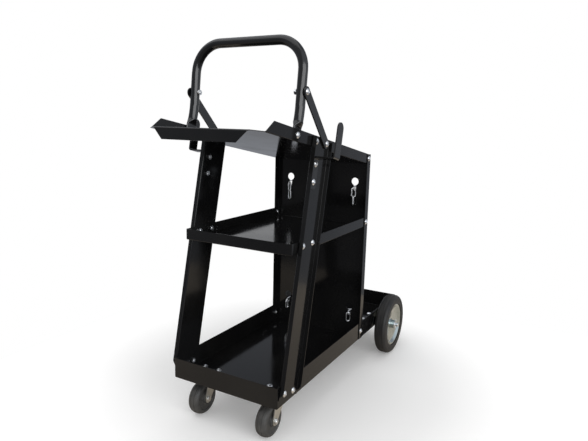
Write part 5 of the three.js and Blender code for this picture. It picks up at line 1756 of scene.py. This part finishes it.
@dataclass
class Studio:
    """The pale floor, the soft lights, the surroundings and the camera."""

    camera_place: tuple[float, float, float] = (0.61433, -1.12571, 0.63768)
    azimuth: float = math.radians(29.18)
    elevation: float = math.radians(10.37)
    roll: float = math.radians(1.44)
    focal_pixels: float = 532.46
    sensor: float = 36.0
    floor_half: float = 0.7
    floor_colour: tuple[float, float, float] = (0.9, 0.9, 0.9)
    floor_mirrored: tuple[float, float, float] = (0.57, 0.5, 0.42)
    floor_lift: tuple[float, float] = (0.16, 0.45)
    floor_lift_span: tuple[float, float] = (0.36, 0.68)
    ambient: float = 0.5
    room_above: tuple[float, float, float] = (0.34, 0.36, 0.4)
    room_below: tuple[float, float, float] = (0.28, 0.25, 0.22)
    window: tuple[float, float, float] = (0.86, 0.92, 1.0)
    window_azimuth: float = math.radians(75)
    front_glow: float = 0.25
    front_shade: tuple[float, float, float] = (0.17, 0.17, 0.18)

    def camera(self) -> bpy.types.Object:
        """Sets the camera at the photograph's viewing angle."""
        back = Vector((math.sin(self.azimuth) * math.cos(self.elevation),
                       -math.cos(self.azimuth) * math.cos(self.elevation), math.sin(self.elevation)))
        level = Vector((math.cos(self.azimuth), math.sin(self.azimuth), 0))
        upright = back.cross(level)
        right = level * math.cos(self.roll) + upright * math.sin(self.roll)
        up = upright * math.cos(self.roll) - level * math.sin(self.roll)
        lens = bpy.data.cameras.new("photo view")
        lens.sensor_width = self.sensor
        lens.lens = self.focal_pixels * self.sensor / IMAGE_WIDTH
        lens.clip_start = 0.01
        camera = bpy.data.objects.new("photo view", lens)
        bpy.context.scene.collection.objects.link(camera)
        turn = Matrix((right, up, back)).transposed()
        camera.matrix_world = Matrix.Translation(Vector(self.camera_place)) @ turn.to_4x4()
        bpy.context.scene.camera = camera
        return camera

    def floor(self) -> bpy.types.Object:
        """Lays the pale floor under the wheels."""
        Bench.clear()
        bpy.ops.mesh.primitive_plane_add(size=2 * self.floor_half)
        floor = bpy.context.object
        floor.name = "studio_floor"
        made = bpy.data.materials.new("pale studio floor")
        made.use_nodes = True
        tree = made.node_tree
        shader = tree.nodes["Principled BSDF"]
        mirrored = tree.nodes.new("ShaderNodeLightPath").outputs["Is Glossy Ray"]
        tone = Texture.node(tree, "ShaderNodeMix", {
            "Factor": mirrored, 6: (*self.floor_colour, 1), 7: (*self.floor_mirrored, 1)}, data_type="RGBA")
        tree.links.new(tone.outputs[2], shader.inputs["Base Color"])
        tree.links.new(tone.outputs[2], shader.inputs["Emission Color"])
        shader.inputs["Roughness"].default_value = 0.9
        shader.inputs["Specular IOR Level"].default_value = 0.1
        place = tree.nodes.new("ShaderNodeTexCoord").outputs["Object"]
        away = Texture.node(tree, "ShaderNodeVectorMath", {0: place}, operation="LENGTH")
        amount = Texture.node(tree, "ShaderNodeMapRange", {
            "Value": away.outputs["Value"], "From Min": self.floor_lift_span[0], "From Max": self.floor_lift_span[1],
            "To Min": self.floor_lift[0], "To Max": self.floor_lift[1]})
        lift = Texture.node(tree, "ShaderNodeMath", {
            0: self.shown(tree), 1: amount.outputs["Result"]}, operation="MULTIPLY")
        tree.links.new(lift.outputs[0], shader.inputs["Emission Strength"])
        floor.data.materials.append(made)
        floor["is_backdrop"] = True
        return floor

    def lamp(self, name: str, place: Point, target: Point, size: tuple[float, float], power: float) -> None:
        """Hangs a soft oblong lamp that faces a target.

        Args:
            name: the lamp's name.
            place: where it hangs.
            target: the point that it faces.
            size: its width and height.
            power: its power in watts.
        """
        data = bpy.data.lights.new(name, "AREA")
        data.shape = "RECTANGLE"
        data.size, data.size_y = size
        data.energy = power
        lamp = bpy.data.objects.new(name, data)
        bpy.context.scene.collection.objects.link(lamp)
        lamp.location = place
        lamp.rotation_mode = "QUATERNION"
        lamp.rotation_quaternion = (Vector(target) - Vector(place)).to_track_quat("-Z", "Y")

    @staticmethod
    def shown(tree: bpy.types.NodeTree) -> bpy.types.NodeSocket:
        """A value of 1 for rays that show the backdrop: seen, mirrored or through something clear."""
        path = tree.nodes.new("ShaderNodeLightPath").outputs
        seen = Texture.node(tree, "ShaderNodeMath", {
            0: path["Is Camera Ray"], 1: path["Is Transmission Ray"]}, operation="MAXIMUM")
        mirrored = Texture.node(tree, "ShaderNodeMath", {
            0: seen.outputs[0], 1: path["Is Glossy Ray"]}, operation="MAXIMUM")
        return mirrored.outputs[0]

    def surroundings(self) -> None:
        """Sets a white screen behind the cart, a dim room round the rest and an even soft light."""
        world = bpy.data.worlds.new("studio")
        bpy.context.scene.world = world
        world.use_nodes = True
        tree = world.node_tree
        tree.nodes.clear()
        way = tree.nodes.new("ShaderNodeTexCoord").outputs["Generated"]
        height = Texture.node(tree, "ShaderNodeSeparateXYZ", {0: way}).outputs["Z"]
        sweep = -Vector((math.sin(self.azimuth), -math.cos(self.azimuth), 0))
        ahead = Texture.node(tree, "ShaderNodeVectorMath", {0: way, 1: sweep}, operation="DOT_PRODUCT")
        share = Texture.node(tree, "ShaderNodeMapRange", {
            "Value": ahead.outputs["Value"], "From Min": 0.62, "From Max": 0.84}, interpolation_type="SMOOTHSTEP")
        above = Texture.node(tree, "ShaderNodeMapRange", {
            "Value": height, "From Min": -0.06, "From Max": 0.0}, interpolation_type="SMOOTHSTEP")
        under = Texture.node(tree, "ShaderNodeMapRange", {
            "Value": height, "From Min": 0.36, "From Max": 0.06}, interpolation_type="SMOOTHSTEP")
        band = Texture.node(tree, "ShaderNodeMath", {
            0: above.outputs["Result"], 1: under.outputs["Result"]}, operation="MULTIPLY")
        screen = Texture.node(tree, "ShaderNodeMath", {
            0: band.outputs[0], 1: share.outputs["Result"]}, operation="MULTIPLY")
        seen = Texture.node(tree, "ShaderNodeMath", {
            0: screen.outputs[0], 1: tree.nodes.new("ShaderNodeLightPath").outputs["Is Camera Ray"]},
            operation="MAXIMUM")
        tint = Texture.node(tree, "ShaderNodeMapRange", {"Value": height, "From Min": -0.5, "From Max": -0.2})
        dim = Texture.node(tree, "ShaderNodeMix", {
            "Factor": tint.outputs["Result"], 6: (*self.room_below, 1), 7: (*self.room_above, 1)}, data_type="RGBA")
        front = Texture.node(tree, "ShaderNodeMapRange", {
            "Value": ahead.outputs["Value"], "From Min": -0.2, "From Max": -0.6,
            "To Max": self.front_glow}, interpolation_type="SMOOTHSTEP")
        raised = Texture.node(tree, "ShaderNodeMapRange", {
            "Value": height, "From Min": 0.02, "From Max": 0.25}, interpolation_type="SMOOTHSTEP")
        glow = Texture.node(tree, "ShaderNodeMath", {
            0: front.outputs["Result"], 1: raised.outputs["Result"]}, operation="MULTIPLY")
        side = Vector((math.sin(self.window_azimuth), -math.cos(self.window_azimuth), 0))
        facing = Texture.node(tree, "ShaderNodeVectorMath", {0: way, 1: side}, operation="DOT_PRODUCT")
        pane = Texture.node(tree, "ShaderNodeMapRange", {
            "Value": facing.outputs["Value"], "From Min": 0.3, "From Max": 0.6}, interpolation_type="SMOOTHSTEP")
        sill = Texture.node(tree, "ShaderNodeMapRange", {
            "Value": height, "From Min": -0.12, "From Max": 0.0}, interpolation_type="SMOOTHSTEP")
        window = Texture.node(tree, "ShaderNodeMath", {
            0: pane.outputs["Result"], 1: sill.outputs["Result"]}, operation="MULTIPLY")
        lit = Texture.node(tree, "ShaderNodeMath", {
            0: window.outputs[0], 1: glow.outputs[0]}, operation="MAXIMUM")
        near = Texture.node(tree, "ShaderNodeMapRange", {
            "Value": ahead.outputs["Value"], "From Min": -0.2, "From Max": -0.6}, interpolation_type="SMOOTHSTEP")
        shade = Texture.node(tree, "ShaderNodeMix", {
            "Factor": near.outputs["Result"], 6: dim.outputs[2], 7: (*self.front_shade, 1)}, data_type="RGBA")
        walls = Texture.node(tree, "ShaderNodeMix", {
            "Factor": lit.outputs[0], 6: shade.outputs[2], 7: (*self.window, 1)}, data_type="RGBA")
        room = Texture.node(tree, "ShaderNodeMix", {
            "Factor": seen.outputs[0], 6: walls.outputs[2], 7: (1, 1, 1, 1)}, data_type="RGBA")
        even = Texture.node(tree, "ShaderNodeBackground", {"Color": (1, 1, 1, 1), "Strength": self.ambient})
        white = Texture.node(tree, "ShaderNodeBackground", {"Color": room.outputs[2], "Strength": 1.0})
        mix = Texture.node(tree, "ShaderNodeMixShader", {
            0: self.shown(tree), 1: even.outputs[0], 2: white.outputs[0]})
        Texture.node(tree, "ShaderNodeOutputWorld", {"Surface": mix.outputs[0]})

    def build(self) -> None:
        """Sets up the whole studio."""
        self.camera()
        self.floor()
        self.surroundings()
        self.lamp("overhead soft box", (-0.6, -0.4, 2.6), (0, 0, 0.3), (3.0, 3.0), 26)
        self.lamp("side soft box", (1.75, -1.47, 1.24), (0, 0, 0.5), (3.0, 1.1), 30)
        bpy.context.scene.view_settings.view_transform = "Standard"


def main() -> None:
    """Builds the studio and every part of the cart, in order."""
    logging.basicConfig(level=logging.INFO, format="%(name)s: %(message)s")
    Studio().build()
    bolt = Bolt()
    for tray in ("bottom_tray", "middle_shelf"):
        FoldedTray(tray).build()
    for part in (TopTray(), BackPanel(), Legs(), CableHooks(), Handle(), SideBolts(bolt), RearAxle(bolt),
                 RearWheels(), Casters(bolt), SafetyChains()):
        part.build()
    bpy.context.view_layer.update()
    boxes = {"cad": CAD_BOX, "visual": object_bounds()}
    {name: [list(corner) for corner in box] for name, box in boxes.items()}


if __name__ == "__main__":
    main()
